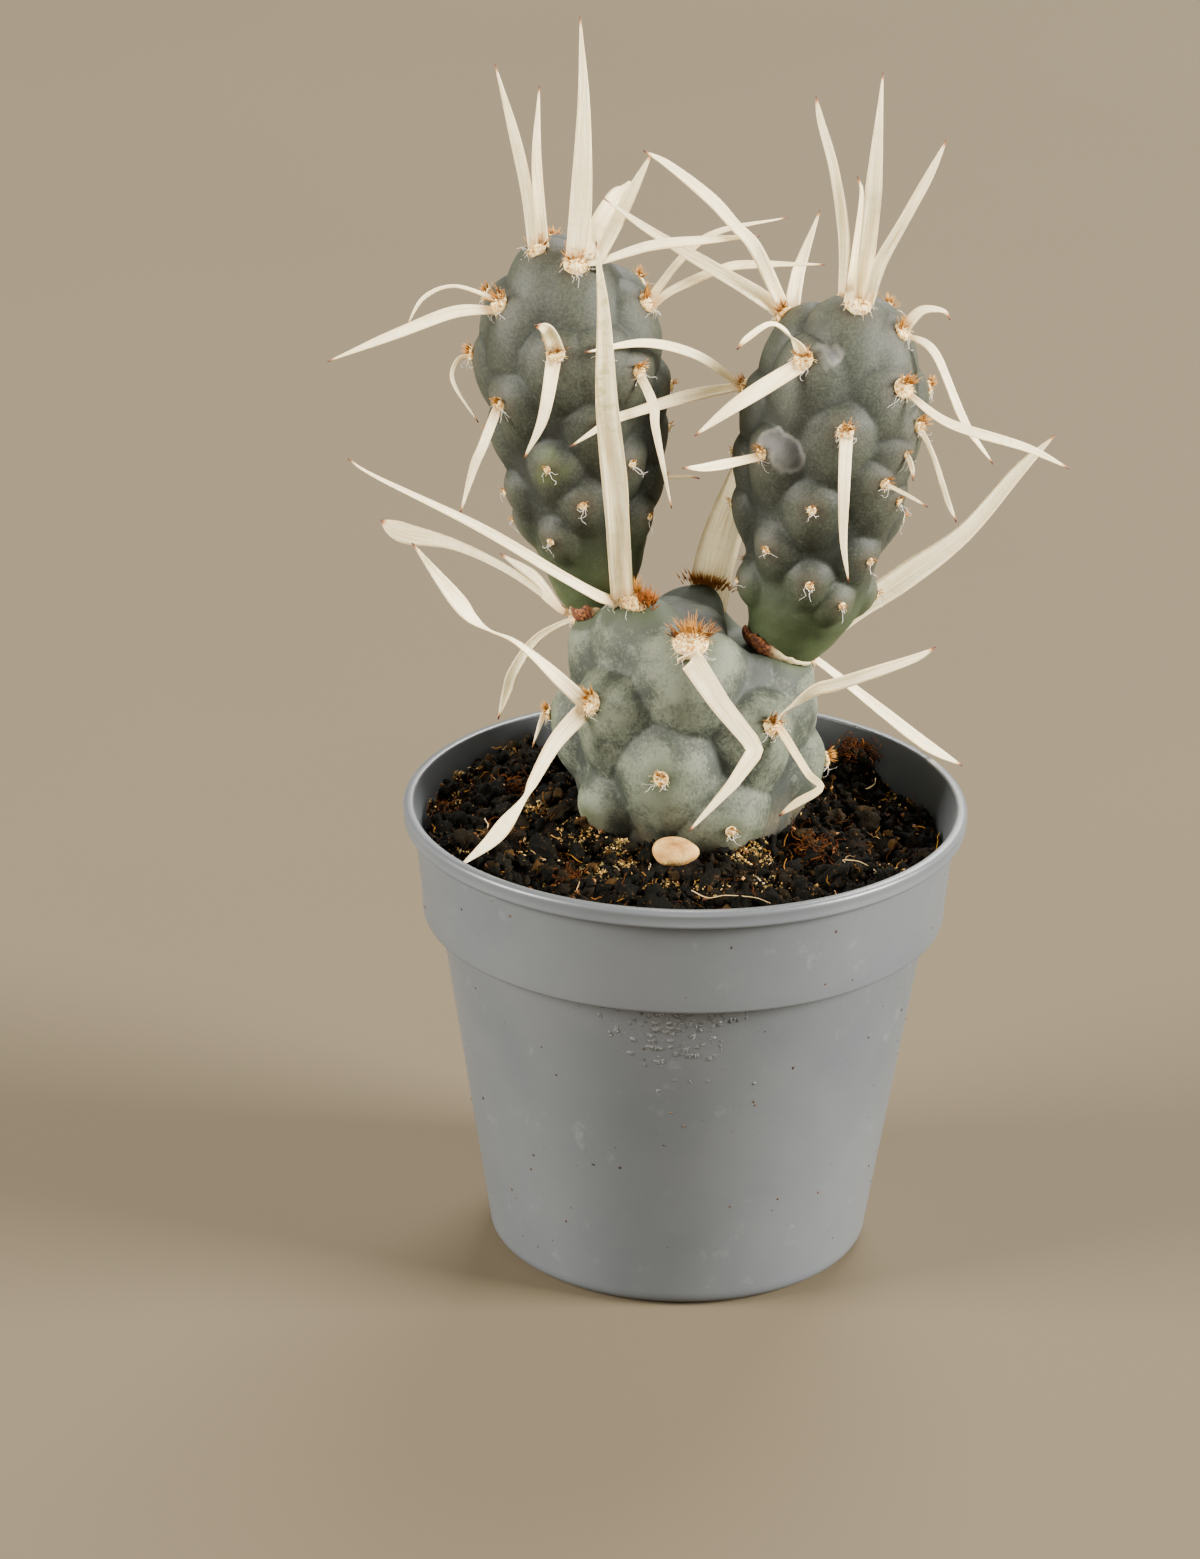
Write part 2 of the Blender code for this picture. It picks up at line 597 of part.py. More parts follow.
def pot_outline():
    """The pot's section as radius and height, up the outside and down the inside."""
    fillet = [
        (BASE_RADIUS - BASE_FILLET * (1 - math.sin(angle)), BASE_FILLET * (1 - math.cos(angle)))
        for angle in (0, math.radians(45), math.radians(90))
    ]
    lip_foot = POT_HEIGHT - LIP_DEPTH
    outside = [
        (WALL_TOP_RADIUS, COLLAR_FOOT_HEIGHT - 0.3),
        (COLLAR_FOOT_RADIUS - 0.3, COLLAR_FOOT_HEIGHT),
        (COLLAR_FOOT_RADIUS, COLLAR_FOOT_HEIGHT + 0.5),
        (COLLAR_TOP_RADIUS, lip_foot),
        (RIM_RADIUS - 0.2, lip_foot + 0.1),
        (RIM_RADIUS, lip_foot + 0.5),
        (RIM_RADIUS, POT_HEIGHT - 0.4),
        (RIM_RADIUS - 0.4, POT_HEIGHT),
    ]
    inside = [
        (COLLAR_TOP_RADIUS - WALL + 0.9, POT_HEIGHT),
        (COLLAR_TOP_RADIUS - WALL, POT_HEIGHT - 0.9),
        (COLLAR_FOOT_RADIUS - WALL, COLLAR_FOOT_HEIGHT + 1.0),
        (WALL_TOP_RADIUS - WALL, COLLAR_FOOT_HEIGHT - 0.4),
        (BASE_RADIUS - WALL + 0.2, FLOOR + 1.0),
        (BASE_RADIUS - WALL - 0.9, FLOOR),
    ]
    return fillet + outside + inside


def turned_object(name, outline, sides, made_of):
    """A solid of revolution about Z, closed by a flat face at each end."""
    vertices = []
    for radius, height in outline:
        for side in range(sides):
            angle = side * 2 * math.pi / sides
            vertices.append((radius * math.cos(angle), radius * math.sin(angle), height))
    return closed_object(name, vertices, tube_faces(len(outline), sides), made_of)


def make_pot():
    """The nursery pot: turned wall, floor, collar and lip, with drain holes."""
    plastic = material("pot_plastic", POT_COLOUR, 0.45)
    pot = turned_object("pot", pot_outline(), POT_SIDES, plastic)
    for number in range(DRAIN_HOLES):
        angle = (number + 0.5) * 2 * math.pi / DRAIN_HOLES
        outline = [(DRAIN_HOLE_RADIUS, -1.0), (DRAIN_HOLE_RADIUS, FLOOR + 1.0)]
        cutter = turned_object(f"drain_cutter_{number}", outline, 12, plastic)
        cutter.location = (
            DRAIN_CIRCLE_RADIUS * math.cos(angle) * MM, DRAIN_CIRCLE_RADIUS * math.sin(angle) * MM, 0)
        cutter.hide_render = True
        cutter.display_type = "WIRE"
        cut = pot.modifiers.new(f"drain_{number}", "BOOLEAN")
        cut.operation = "DIFFERENCE"
        cut.solver = "EXACT"
        cut.object = cutter
    shade(pot, 35)
    return pot


def inner_radius(height):
    """Radius of the pot's inside at a height."""
    inside = sorted((z, r) for r, z in pot_outline()[-6:])
    return float(np.interp(height, [z for z, _ in inside], [r for _, r in inside]))


def soil_height(x, y, draw):
    """The soil's surface: it falls to the right, with clods, and is flat under the pebble."""
    level = SOIL_LEVEL - SOIL_FALL * x + draw.uniform(-1, 1) * CLOD_HEIGHT
    under = math.hypot(x - PEBBLE_CENTRE[0], y - PEBBLE_CENTRE[1]) / (PEBBLE_RADII[0] + 1.6)
    flat = PEBBLE_CENTRE[2] - PEBBLE_RADII[2] - GAP
    share = float(smooth_step(1.6 - under))
    return level + (flat - level) * share


def circle(centre, radius, height):
    """A ring of places, one for each side of the pot."""
    ring = []
    for side in range(POT_SIDES):
        angle = side * 2 * math.pi / POT_SIDES
        ring.append((centre[0] + radius * math.cos(angle), centre[1] + radius * math.sin(angle), height))
    return ring


def soil_sides():
    """Rings up the outside of the plug, clear of the pot and of the step in its wall."""
    clear = SOIL_CLEARANCE
    step = COLLAR_FOOT_HEIGHT
    outline = [
        (inner_radius(FLOOR) - clear, FLOOR + clear),
        (inner_radius(FLOOR + 1.0) - clear, FLOOR + 1.0 + clear),
        (inner_radius(step - 0.75) - clear, step - 0.75),
        (WALL_TOP_RADIUS - WALL - clear, step - 0.05),
        (COLLAR_FOOT_RADIUS - WALL - clear, step + 1.4),
    ]
    return [circle((0, 0), radius, height) for radius, height in outline]


def make_soil():
    """The peat: a plug inside the pot with a plain hole for the base joint."""
    draw = random.Random(SOIL_SEED)
    earth = material("potting_soil", SOIL_COLOUR, 0.95)
    rows = soil_sides()
    edge = SOIL_LEVEL - SOIL_EDGE_DROP
    wall = []
    lowest = edge - SOIL_FALL * RIM_RADIUS
    for x, y, _ in circle((0, 0), inner_radius(lowest) - SOIL_CLEARANCE, edge):
        wall.append((x, y, edge - SOIL_FALL * x))
    rows.append(wall)
    stem_radius = BASE_OUTLINE[2][1]
    hole = circle(BASE_FOOT, stem_radius + STEM_HOLE_CLEARANCE, SOIL_LEVEL)
    for share in np.linspace(0.97, 0, SOIL_RINGS):
        row = []
        for outer, inner in zip(wall, hole):
            x, y = np.array(inner[:2]) + (np.array(outer[:2]) - inner[:2]) * share
            row.append((x, y, soil_height(x, y, draw)))
        rows.append(row)
    foot_radius = BASE_OUTLINE[0][1]
    rows.append(circle(BASE_FOOT, foot_radius + STEM_HOLE_CLEARANCE, BASE_FOOT[2] - SOIL_CLEARANCE))
    vertices = [vertex for row in rows for vertex in row]
    soil = closed_object("soil", vertices, tube_faces(len(rows), POT_SIDES), earth)
    shade(soil, 50)
    return soil


def make_pebble():
    """One tan pebble lying on the soil, flat where it rests."""
    stone = material("pebble_stone", PEBBLE_COLOUR, 0.8)
    body = bmesh.new()
    bmesh.ops.create_icosphere(body, subdivisions=2, radius=1.0)
    for vertex in body.verts:
        x, y, z = vertex.co
        lump = 1 + 0.05 * math.sin(5 * x + 1.0) + 0.04 * math.sin(6 * y + 2 * z)
        place = np.array((x, y, max(z, -0.93))) * np.array(PEBBLE_RADII)
        place[:2] *= lump
        vertex.co = (np.array(PEBBLE_CENTRE) + place) * MM
    mesh = bpy.data.meshes.new("pebble")
    body.to_mesh(mesh)
    body.free()
    mesh.materials.append(stone)
    pebble = bpy.data.objects.new("pebble", mesh)
    bpy.context.scene.collection.objects.link(pebble)
    shade(pebble, 60)
    return pebble


def make_stem(name, stem, areoles, spines, spacing, detail, skin_material, creased=(), extra=()):
    """A whole stem joint as one solid: body, pads, spines and what else it carries."""
    for row in areoles:
        stem.add_areole(*row)
    behind = fill_the_back(stem, spacing)
    draw = random.Random(BACK_SEED + len(areoles))
    rows = spines + back_spines(stem, behind, draw)
    rings, columns = detail
    body = stem_object(name, stem, rings, columns, skin_material)
    repeats = [pad_object(f"{name}_pad_{key}", stem, key, skin_material) for key in stem.areoles]
    repeats += spine_objects(name + "_spine", stem, rows, skin_material)
    repeats += spine_objects(name + "_creased", stem, creased, skin_material, smooth=False)
    repeats += extra
    join_repeats(body, repeats)
    shade(body, 40)
    return body


def make_base_joint(carried, pale_skin):
    """The squat joint in the soil, with the necks for the two upper joints."""
    stem = Stem(BASE_FOOT, BASE_CROWN, BASE_OUTLINE, SQUAT_TUBERCLE, SQUAT_BLEND,
                bare_to=SOIL_LINE_ON_STEM)
    stem.carried = carried
    stubs = [
        neck_stub(f"neck_stub_{number}", other, pale_skin) for number, other in enumerate(carried)
    ]
    return make_stem("base_joint", stem, BASE_AREOLES, BASE_SPINES, BASE_BACK_SPACING,
                     (BASE_RINGS, BASE_COLUMNS), pale_skin, BASE_CREASED, stubs)


def upper_stem(foot, crown, outline, neck):
    """The form of one of the two taller joints."""
    return Stem(foot, crown, outline, SLENDER_TUBERCLE, SLENDER_BLEND, neck=neck)


def main():
    """Clear the scene and build every piece."""
    for thing in list(bpy.data.objects):
        bpy.data.objects.remove(thing)
    make_pot()
    make_soil()
    make_pebble()
    left = upper_stem(LEFT_FOOT, LEFT_CROWN, LEFT_OUTLINE, LEFT_NECK)
    right = upper_stem(RIGHT_FOOT, RIGHT_CROWN, RIGHT_OUTLINE, RIGHT_NECK)
    make_base_joint([left, right], material("base_skin", BASE_SKIN_COLOUR, 0.7))
    detail = (STEM_RINGS, STEM_COLUMNS)
    make_stem("left_joint", left, LEFT_AREOLES, LEFT_SPINES, BACK_SPACING, detail,
              material("left_skin", UPPER_SKIN_COLOUR, 0.65))
    make_stem("right_joint", right, RIGHT_AREOLES, RIGHT_SPINES, BACK_SPACING, detail,
              material("right_skin", UPPER_SKIN_COLOUR, 0.65))


main()
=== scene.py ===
# %% [markdown]
# # A potted paper-spine cactus
#
# The object is a small pine cone cactus in a grey nursery pot. Three stem joints stand in
# dark peat: a squat, pale base joint, and two taller, darker joints on its shoulders. Flat
# papery spines, as white as wood shavings, come out of woolly cushions called areoles.
#
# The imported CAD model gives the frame: sizes, places and names. Each lesson below makes one
# finer piece of the real object in that frame, and says how and why. Lengths are in
# millimetres until a mesh is made, +Z is up, and -Y is the front.

# %% Read the frame
import math
import random
from types import SimpleNamespace

import bmesh
import bpy
import numpy as np
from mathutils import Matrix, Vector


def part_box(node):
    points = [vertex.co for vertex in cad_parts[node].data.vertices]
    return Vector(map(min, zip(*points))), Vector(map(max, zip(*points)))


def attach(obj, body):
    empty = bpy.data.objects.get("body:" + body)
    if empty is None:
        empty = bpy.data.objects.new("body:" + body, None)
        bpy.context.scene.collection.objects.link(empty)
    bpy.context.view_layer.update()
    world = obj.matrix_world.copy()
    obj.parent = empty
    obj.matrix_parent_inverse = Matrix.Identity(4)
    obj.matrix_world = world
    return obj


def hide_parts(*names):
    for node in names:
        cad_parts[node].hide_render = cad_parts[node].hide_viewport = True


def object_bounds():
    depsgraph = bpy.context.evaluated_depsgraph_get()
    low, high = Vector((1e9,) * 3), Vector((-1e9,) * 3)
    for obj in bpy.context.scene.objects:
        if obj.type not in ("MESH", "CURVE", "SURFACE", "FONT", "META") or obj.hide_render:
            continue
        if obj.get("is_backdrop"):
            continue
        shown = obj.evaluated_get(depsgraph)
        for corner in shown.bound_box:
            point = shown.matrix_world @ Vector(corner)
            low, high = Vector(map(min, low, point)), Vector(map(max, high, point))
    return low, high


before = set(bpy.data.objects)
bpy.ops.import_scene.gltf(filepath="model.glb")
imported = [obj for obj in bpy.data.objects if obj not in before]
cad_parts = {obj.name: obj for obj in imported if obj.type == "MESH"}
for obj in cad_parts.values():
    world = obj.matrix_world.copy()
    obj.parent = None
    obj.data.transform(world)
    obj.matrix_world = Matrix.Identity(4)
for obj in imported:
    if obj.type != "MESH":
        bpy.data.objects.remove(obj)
cad_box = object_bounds()
MM = 0.001
pot_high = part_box("pot")[1]
RIM_RADIUS = pot_high.x / MM
POT_HEIGHT = pot_high.z / MM
print("nodes:", sorted(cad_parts))
print(f"pot: {2 * RIM_RADIUS:.1f} mm across and {POT_HEIGHT:.1f} mm high")

# %% [markdown]
# ## Small helpers for lines and surfaces
#
# Every piece here starts as rows of points in NumPy, because a formula can shape a hundred
# thousand points at once, where moving mesh vertices one by one would be slow. A random
# bump is a sum of a few sine waves in random directions: it is smooth, has no seams, and
# gives the same result on each run.

# %% Lines
FRONT = (0, -1, 0)
ABOVE = (0, 0, 1)
RIGHT = (1, 0, 0)
FRONT_UP = (0, -1, 0.8)
FRONT_LEFT = (-0.7, -1, 0)
FRONT_RIGHT = (0.7, -1, 0)
OBLIQUE = (0.31, 0.87, 0.38)
WAVES = 9


def unit(vectors):
    """The vectors at length one."""
    vectors = np.asarray(vectors, float)
    return vectors / np.maximum(np.linalg.norm(vectors, axis=-1, keepdims=True), 1e-9)


def stray(draw, size):
    """A random step whose three parts spread by a size."""
    return np.array([draw.gauss(0, size) for _ in range(3)])


def turns(count):
    """Evenly spaced angles all the way round."""
    return np.arange(count) * 2 * math.pi / count


def smooth_step(value):
    """0 below 0, 1 above 1, and an S curve between."""
    value = np.clip(value, 0, 1)
    return value * value * (3 - 2 * value)


def curve_through(points, per_span):
    """A smooth Catmull-Rom line through the given points."""
    points = np.array(points, float)
    ends = np.vstack([2 * points[0] - points[1], points, 2 * points[-1] - points[-2]])
    line = []
    for a, b, c, d in zip(ends, ends[1:], ends[2:], ends[3:]):
        for t in np.arange(per_span) / per_span:
            bend = 2 * a - 5 * b + 4 * c - d
            line.append(0.5 * (2 * b + (c - a) * t + bend * t**2 + (3 * b - a - 3 * c + d) * t**3))
    return np.array(line + [points[-1]])


def evenly(line, count):
    """The same line cut at evenly spaced places."""
    steps = np.linalg.norm(np.diff(line, axis=0), axis=1)
    run = np.concatenate([[0], np.cumsum(steps)])
    places = np.linspace(0, run[-1], count)
    return np.stack([np.interp(places, run, column) for column in line.T], axis=1)


def ripple(places, size, seed):
    """Smooth random heights from about -1 to 1, whose bumps are about one size across."""
    draw = random.Random(seed)
    total = np.zeros(len(places))
    for _ in range(WAVES):
        way = unit(stray(draw, 1))
        pace = math.pi / size * draw.uniform(0.7, 1.5)
        total += np.sin(places @ way * pace + draw.uniform(0, 6.3))
    return total / 4


# %% [markdown]
# ## From points to pieces
#
# A piece is one mesh object that rides on the frame's body. Small shapes that repeat, such
# as hairs, are collected in a bunch first and become one mesh, which keeps the scene light.
# Each vertex can carry named numbers, such as the distance from a spine's root, and the
# materials read them. That takes the place of painted textures.

# %% Pieces
def make_piece(name, vertices, faces, finish, values=None):
    """A mesh object in metres that rides on the root body, from vertices in millimetres."""
    mesh = bpy.data.meshes.new(name)
    mesh.from_pydata((np.asarray(vertices) * MM).tolist(), [], faces)
    body = bmesh.new()
    body.from_mesh(mesh)
    bmesh.ops.recalc_face_normals(body, faces=body.faces[:])
    body.to_mesh(mesh)
    body.free()
    for key, numbers in (values or {}).items():
        layer = mesh.attributes.new(key, "FLOAT", "POINT")
        layer.data.foreach_set("value", np.asarray(numbers, np.float32))
    mesh.shade_smooth()
    mesh.materials.append(finish)
    piece = bpy.data.objects.new(name, mesh)
    bpy.context.scene.collection.objects.link(piece)
    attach(piece, "root")
    print(f"{name}: {len(mesh.vertices)} vertices, {sum(len(f) - 2 for f in faces)} triangles")
    return piece


class Bunch:
    """Many small shapes that become one piece."""

    def __init__(self):
        self.vertices = []
        self.faces = []
        self.values = {}
        self.count = 0

    def add(self, vertices, faces, **values):
        """Add one shape; each value is a number for each of its vertices."""
        self.vertices.append(vertices)
        self.faces += [tuple(int(k) + self.count for k in face) for face in faces]
        for key, numbers in values.items():
            numbers = np.broadcast_to(numbers, len(vertices))
            self.values.setdefault(key, []).append(numbers)
        self.count += len(vertices)

    def finish(self, name, finish):
        """Make the piece."""
        values = {key: np.concatenate(parts) for key, parts in self.values.items()}
        return make_piece(name, np.concatenate(self.vertices), self.faces, finish, values)


# %% [markdown]
# Hairs, bristles and fibres are all thin tapered strands. One function makes any number of
# them: a strand is a line of points with a three-sided tube round it that tapers to its tip.
# Wool cushions and droplets are low domes, so they share a function too.

# %% Strands and domes
def tube_faces(rings, sides):
    """Faces of a closed tube whose rings of vertices follow each other."""
    faces = []
    for ring in range(rings - 1):
        for side in range(sides):
            a = ring * sides + side
            b = ring * sides + (side + 1) % sides
            faces.append((a, b, b + sides, a + sides))
    faces.append(tuple(reversed(range(sides))))
    faces.append(tuple(range((rings - 1) * sides, rings * sides)))
    return faces


def dome_faces(rings, sides):
    """Faces of a tube whose last ring closes on one more vertex."""
    last = (rings - 1) * sides
    cap = [(last + k, last + (k + 1) % sides, rings * sides) for k in range(sides)]
    return tube_faces(rings, sides)[:-1] + cap


def dome_points(place, out, right, up, radius, flat, lean, rings, sides):
    """Rings of a dome from its edge up; the edge leans by an angle from the way out."""
    points = []
    for ring in range(rings):
        angle = lean * (1 - ring / rings)
        rise = out * flat * math.cos(angle)
        for turn in turns(sides):
            spread = right * math.cos(turn) + up * math.sin(turn)
            points.append(place + radius * (spread * math.sin(angle) + rise))
    return points


def add_strand(bunch, line, radius, tip=0.5, **values):
    """A thin tube along a line that tapers to a share of its radius."""
    sides = 3
    line = np.asarray(line, float)
    tangents = unit(np.gradient(line, axis=0))
    helper = unit(np.cross(tangents[0], OBLIQUE))
    first = unit(np.cross(tangents, helper))
    second = np.cross(tangents, first)
    thin = radius * np.linspace(1, tip, len(line))[:, None]
    rings = [line + thin * (first * math.cos(a) + second * math.sin(a)) for a in turns(sides)]
    vertices = np.stack(rings, axis=1).reshape(-1, 3)
    along = np.repeat(np.linspace(0, 1, len(line)), sides)
    bunch.add(vertices, tube_faces(len(line), sides), along=along, **values)


# %% [markdown]
# ## Finishes as node trees
#
# A finish is a Principled material with a few procedural nodes in front of it. These
# helpers keep each recipe short: read a number of the mesh, make noise, turn a number into
# a colour, mix two colours, and raise a bump.

# %% Finish helper
def tone(red, green, blue):
    """A colour given the way a colour picker shows it, from 0 to 255."""
    shares = [value / 255 for value in (red, green, blue)]
    return (*(((v + 0.055) / 1.055) ** 2.4 if v > 0.04 else v / 12.92 for v in shares), 1)


class Finish:
    """A material and short ways to add nodes to it."""

    def __init__(self, name, **sockets):
        self.material = bpy.data.materials.new(name)
        self.material.use_nodes = True
        self.tree = self.material.node_tree
        self.shader = self.tree.nodes["Principled BSDF"]
        self.set(self.shader, sockets)

    def set(self, node, sockets):
        """Give the sockets of a node their values or links."""
        for key, value in sockets.items():
            socket = node.inputs[key if isinstance(key, int) else key.replace("_", " ")]
            if isinstance(value, bpy.types.NodeSocket):
                self.tree.links.new(value, socket)
            else:
                socket.default_value = value

    def node(self, kind, output, sockets, **settings):
        """Add a node with its settings and sockets, and give back one of its outputs."""
        node = self.tree.nodes.new("ShaderNode" + kind)
        for key, value in settings.items():
            setattr(node, key, value)
        self.set(node, sockets)
        return node.outputs[output]

    def read(self, name, *ends):
        """A number that the mesh carries, stretched like a span if two ends are given."""
        value = self.node("Attribute", "Fac", {}, attribute_name=name)
        return self.span(value, *ends) if ends else value

    def noise(self, scale, detail, rough=0.55, vector=None):
        """Fine clouds; a scale of 1000 has bumps of about a millimetre."""
        vector = vector or self.node("TexCoord", "Object", {})
        return self.node(
            "TexNoise", "Fac",
            {"Vector": vector, "Scale": scale, "Detail": detail, "Roughness": rough})

    def join(self, x, y, z):
        """A vector made of three numbers."""
        return self.node("CombineXYZ", "Vector", {"X": x, "Y": y, "Z": z})

    def math(self, operation, first, second):
        """Arithmetic on two numbers."""
        return self.node("Math", 0, {0: first, 1: second}, operation=operation)

    def times(self, first, second):
        """The product of two numbers."""
        return self.math("MULTIPLY", first, second)

    def span(self, value, low, high):
        """A number stretched so that low becomes 0 and high becomes 1."""
        return self.node("MapRange", "Result", {"Value": value, "From Min": low, "From Max": high})

    def mix(self, share, first, second):
        """A colour between two, each a link or as a colour picker shows it."""
        first, second = (tone(*c) if isinstance(c, tuple) else c for c in (first, second))
        return self.node("Mix", 2, {0: share, 6: first, 7: second}, data_type="RGBA")

    def tint(self, colour, *layers):
        """A colour pulled towards others in turn; each has a number, its strength and a colour."""
        for share, strength, towards in layers:
            colour = self.mix(self.times(share, strength), colour, towards)
        return colour

    def ramp(self, value, *stops):
        """A colour for a number, from rows of position and colour."""
        node = self.tree.nodes.new("ShaderNodeValToRGB")
        marks = node.color_ramp.elements
        while len(marks) < len(stops):
            marks.new(0.5)
        for mark, (position, colour) in zip(marks, stops):
            mark.position = position
            mark.color = tone(*colour)
        self.set(node, {"Fac": value})
        return node.outputs["Color"]

    def bump(self, height, depth, below=None):
        """Small relief, with its depth in millimetres, and a coarser one below it if given."""
        sockets = {"Height": height, "Distance": depth * MM, "Strength": 1.0}
        if below:
            sockets["Normal"] = below
        return self.node("Bump", "Normal", sockets)

    def done(self, **sockets):
        """Set the shader's last sockets and give back the material."""
        self.set(self.shader, sockets)
        return self.material


# %% [markdown]
# Some recipes come up again and again, so they are functions with their own names: a plain
# finish between two colours, and an earthy one whose colour is ramped and then flecked.

# %% Shared recipes
def two_tone(name, first, second, clouds=None, **sockets):
    """A finish between two colours, by each bit's own shade or in clouds of a scale."""
    finish = Finish(name, **sockets)
    share = finish.noise(clouds, 2) if clouds else finish.read("shade")
    return finish.done(Base_Color=finish.mix(share, first, second))


def flecked(name, stops, grain, flecks=None, clouds=None, depth=None, **sockets):
    """A finish ramped by each bit's own shade or by clouds, with flecks and relief of one grain."""
    finish = Finish(name, **sockets)
    share = finish.span(finish.noise(*clouds), 0.3, 0.7) if clouds else finish.read("shade")
    colour = finish.ramp(share, *stops)
    fine = finish.noise(*grain)
    if flecks:
        low, high, fleck = flecks
        colour = finish.mix(finish.span(fine, low, high), colour, fleck)
    if depth:
        finish.done(Normal=finish.bump(fine, depth))
    return finish.done(Base_Color=colour)


# %% [markdown]
# ## The form of a joint
#
# A joint grows as one piece: a swollen stem covered with tubercles, the soft knobs that
# each carry an areole. It could be sculpted, but a formula is exact and repeats: a turned
# outline gives the core, and every areole adds a dome that is long below it and short
# above it, like a scale. Where two domes meet, the higher one wins, and that leaves the
# creases of the real skin, which the skin's colour darkens further with painted shade.

# %% Joint forms
NECK_FADE = 8.0
OUTLINE_PLACES = 400


def make_form(foot, crown, outline, tubercle, blend, low, groove, neck=(0, 0), bare_to=0):
    """A joint's axis and directions, its outline, and the shape of its tubercles and grooves.

    Blend is how softly two tubercles meet, and low is the level of the skin between them. A
    groove has a depth, a width, and whether it lies only above a tubercle. A neck has the
    slope and the shift of the joint's foot. The skin is bare of tubercles up to a height.
    """
    form = SimpleNamespace(
        foot=np.array(foot, float), tubercle=tubercle, blend=blend, low=low, groove=groove)
    form.axis = unit(np.array(crown) - form.foot)
    form.front = unit(np.array(FRONT) - form.axis * np.dot(FRONT, form.axis))
    form.right = np.cross(form.axis, form.front)
    form.outline = evenly(curve_through(outline, 10), OUTLINE_PLACES)
    form.slopes = unit(np.gradient(form.outline, axis=0))
    form.neck_slope, form.neck_shift = neck
    form.bare_to = bare_to
    form.areoles = {}
    form.carried = []
    form.dents = []
    return form


def share_at(form, height):
    """How far along the outline a height lies, from 0 to 1."""
    places = np.linspace(0, 1, len(form.outline))
    return float(np.interp(height, np.maximum.accumulate(form.outline[:, 0]), places))


def core(form, share, azimuth):
    """Place, outward normal, upward tangent and rightward tangent without tubercles."""
    places = np.linspace(0, 1, len(form.outline))
    height, radius = (np.interp(share, places, form.outline[:, k])[:, None] for k in (0, 1))
    rise, spread = (np.interp(share, places, form.slopes[:, k])[:, None] for k in (0, 1))
    cosine = np.cos(azimuth)[:, None]
    sine = np.sin(azimuth)[:, None]
    out = cosine * form.front + sine * form.right
    across = cosine * form.right - sine * form.front
    fade = np.clip(1 - height / NECK_FADE, 0, 1)
    place = form.foot + form.axis * height + out * np.maximum(radius, 0)
    place = place + form.axis * form.neck_slope * fade * radius * sine
    place = place + form.right * form.neck_shift * fade**2
    return place, out * rise - form.axis * spread, form.axis * rise + out * spread, across


def core_at(form, height, azimuth):
    """The place and directions of the core at one height and one angle in degrees."""
    share = np.array([share_at(form, height)])
    return [rows[0] for rows in core(form, share, np.array([math.radians(azimuth)]))]


def add_areole(form, name, height, azimuth, pad, shape=None):
    """Put an areole on a joint, with a tubercle of the joint's own or a given shape.

    A tubercle's shape is half its width, its length above and below the areole, and its rise.
    """
    share = share_at(form, height)
    low, high = (np.array(values) for values in form.tubercle)
    place, normal, up, across = core_at(form, height, azimuth)
    form.areoles[name] = SimpleNamespace(
        core=place, normal=normal, up=up, across=across, share=share, azimuth=math.radians(azimuth),
        pad=pad, shape=shape or low + (high - low) * share)


# %% [markdown]
# The tubercles also leave marks that the skin's colour needs: how high a point lies on its
# dome, how near it is to a crease above a dome, and how near it is to an areole. The first
# two paint shade into the low skin and the creases.

# %% Tubercles
def grooves(form, gap, upper):
    """How deep in a groove a place lies, 0 to 1, by the gap between its two highest domes."""
    _, width, above_only = form.groove
    return np.exp(-gap / width) * (smooth_step((upper - 0.15) / 0.4) if above_only else 1.0)


def tubercles(form, place, height):
    """Relief of the skin in mm, and its crease and areole marks from 0 to 1."""
    domes = [np.full(len(place), form.low)]
    tops = [np.full(len(place), -1.0)]
    mark = np.zeros(len(place))
    for areole in form.areoles.values():
        half, above, below, rise = areole.shape
        away = place - areole.core
        u = away @ areole.across / half
        v = away @ areole.up
        v = np.where(v > 0, v / above, v / below)
        w = away @ areole.normal / half
        domes.append(rise * (1 - u * u - v * v - w * w))
        tops.append(v)
        mark = np.maximum(mark, np.exp(-((away**2).sum(1)) / (areole.pad + 0.9) ** 2))
    domes = np.array(domes)
    tops = np.array(tops)
    order = np.argsort(domes, axis=0)
    first, second = order[-1], order[-2]
    columns = np.arange(len(place))
    gap = domes[first, columns] - domes[second, columns]
    upper = np.maximum(tops[first, columns], tops[second, columns])
    grown = smooth_step((height - form.bare_to) / 3.5)
    crease = grooves(form, gap, upper) * grown
    total = np.exp(np.maximum(domes, -4) / form.blend).sum(0)
    relief = form.blend * np.log(total) * grown
    return relief - form.groove[0] * crease, crease, mark


# %% [markdown]
# The upper joints stand on the base joint. Its flesh stops just short of them, as it would
# where they grew out of it, so it is marched inwards until it is clear of their necks.

# %% Skin points
NECK_CLEARANCE = 0.25
NECK_REACH = 14.0
YIELD_STEP = 0.05


def inside_neck(form, place):
    """Which places lie in the lower part of a joint or right beside it."""
    away = place - form.foot
    height = away @ form.axis
    fade = np.clip(1 - np.maximum(height, 0) / NECK_FADE, 0, 1)
    out = away - height[:, None] * form.axis - (form.neck_shift * fade**2)[:, None] * form.right
    radius = np.linalg.norm(out, axis=1)
    height = height - form.neck_slope * fade * (out @ form.right)
    skin = np.interp(np.maximum(height, 0), form.outline[:, 0], form.outline[:, 1])
    near = radius < skin + NECK_CLEARANCE + 0.8 * smooth_step(np.maximum(height, 0) / 5)
    return near & (height > -NECK_CLEARANCE) & (height < NECK_REACH)


def gap_to_line(place, start, end):
    """How far each place lies from a straight line between two points."""
    start = np.array(start)
    along = np.array(end) - start
    share = np.clip((place - start) @ along / max(along @ along, 1e-9), 0, 1)
    return np.linalg.norm(place - start - share[:, None] * along, axis=1)


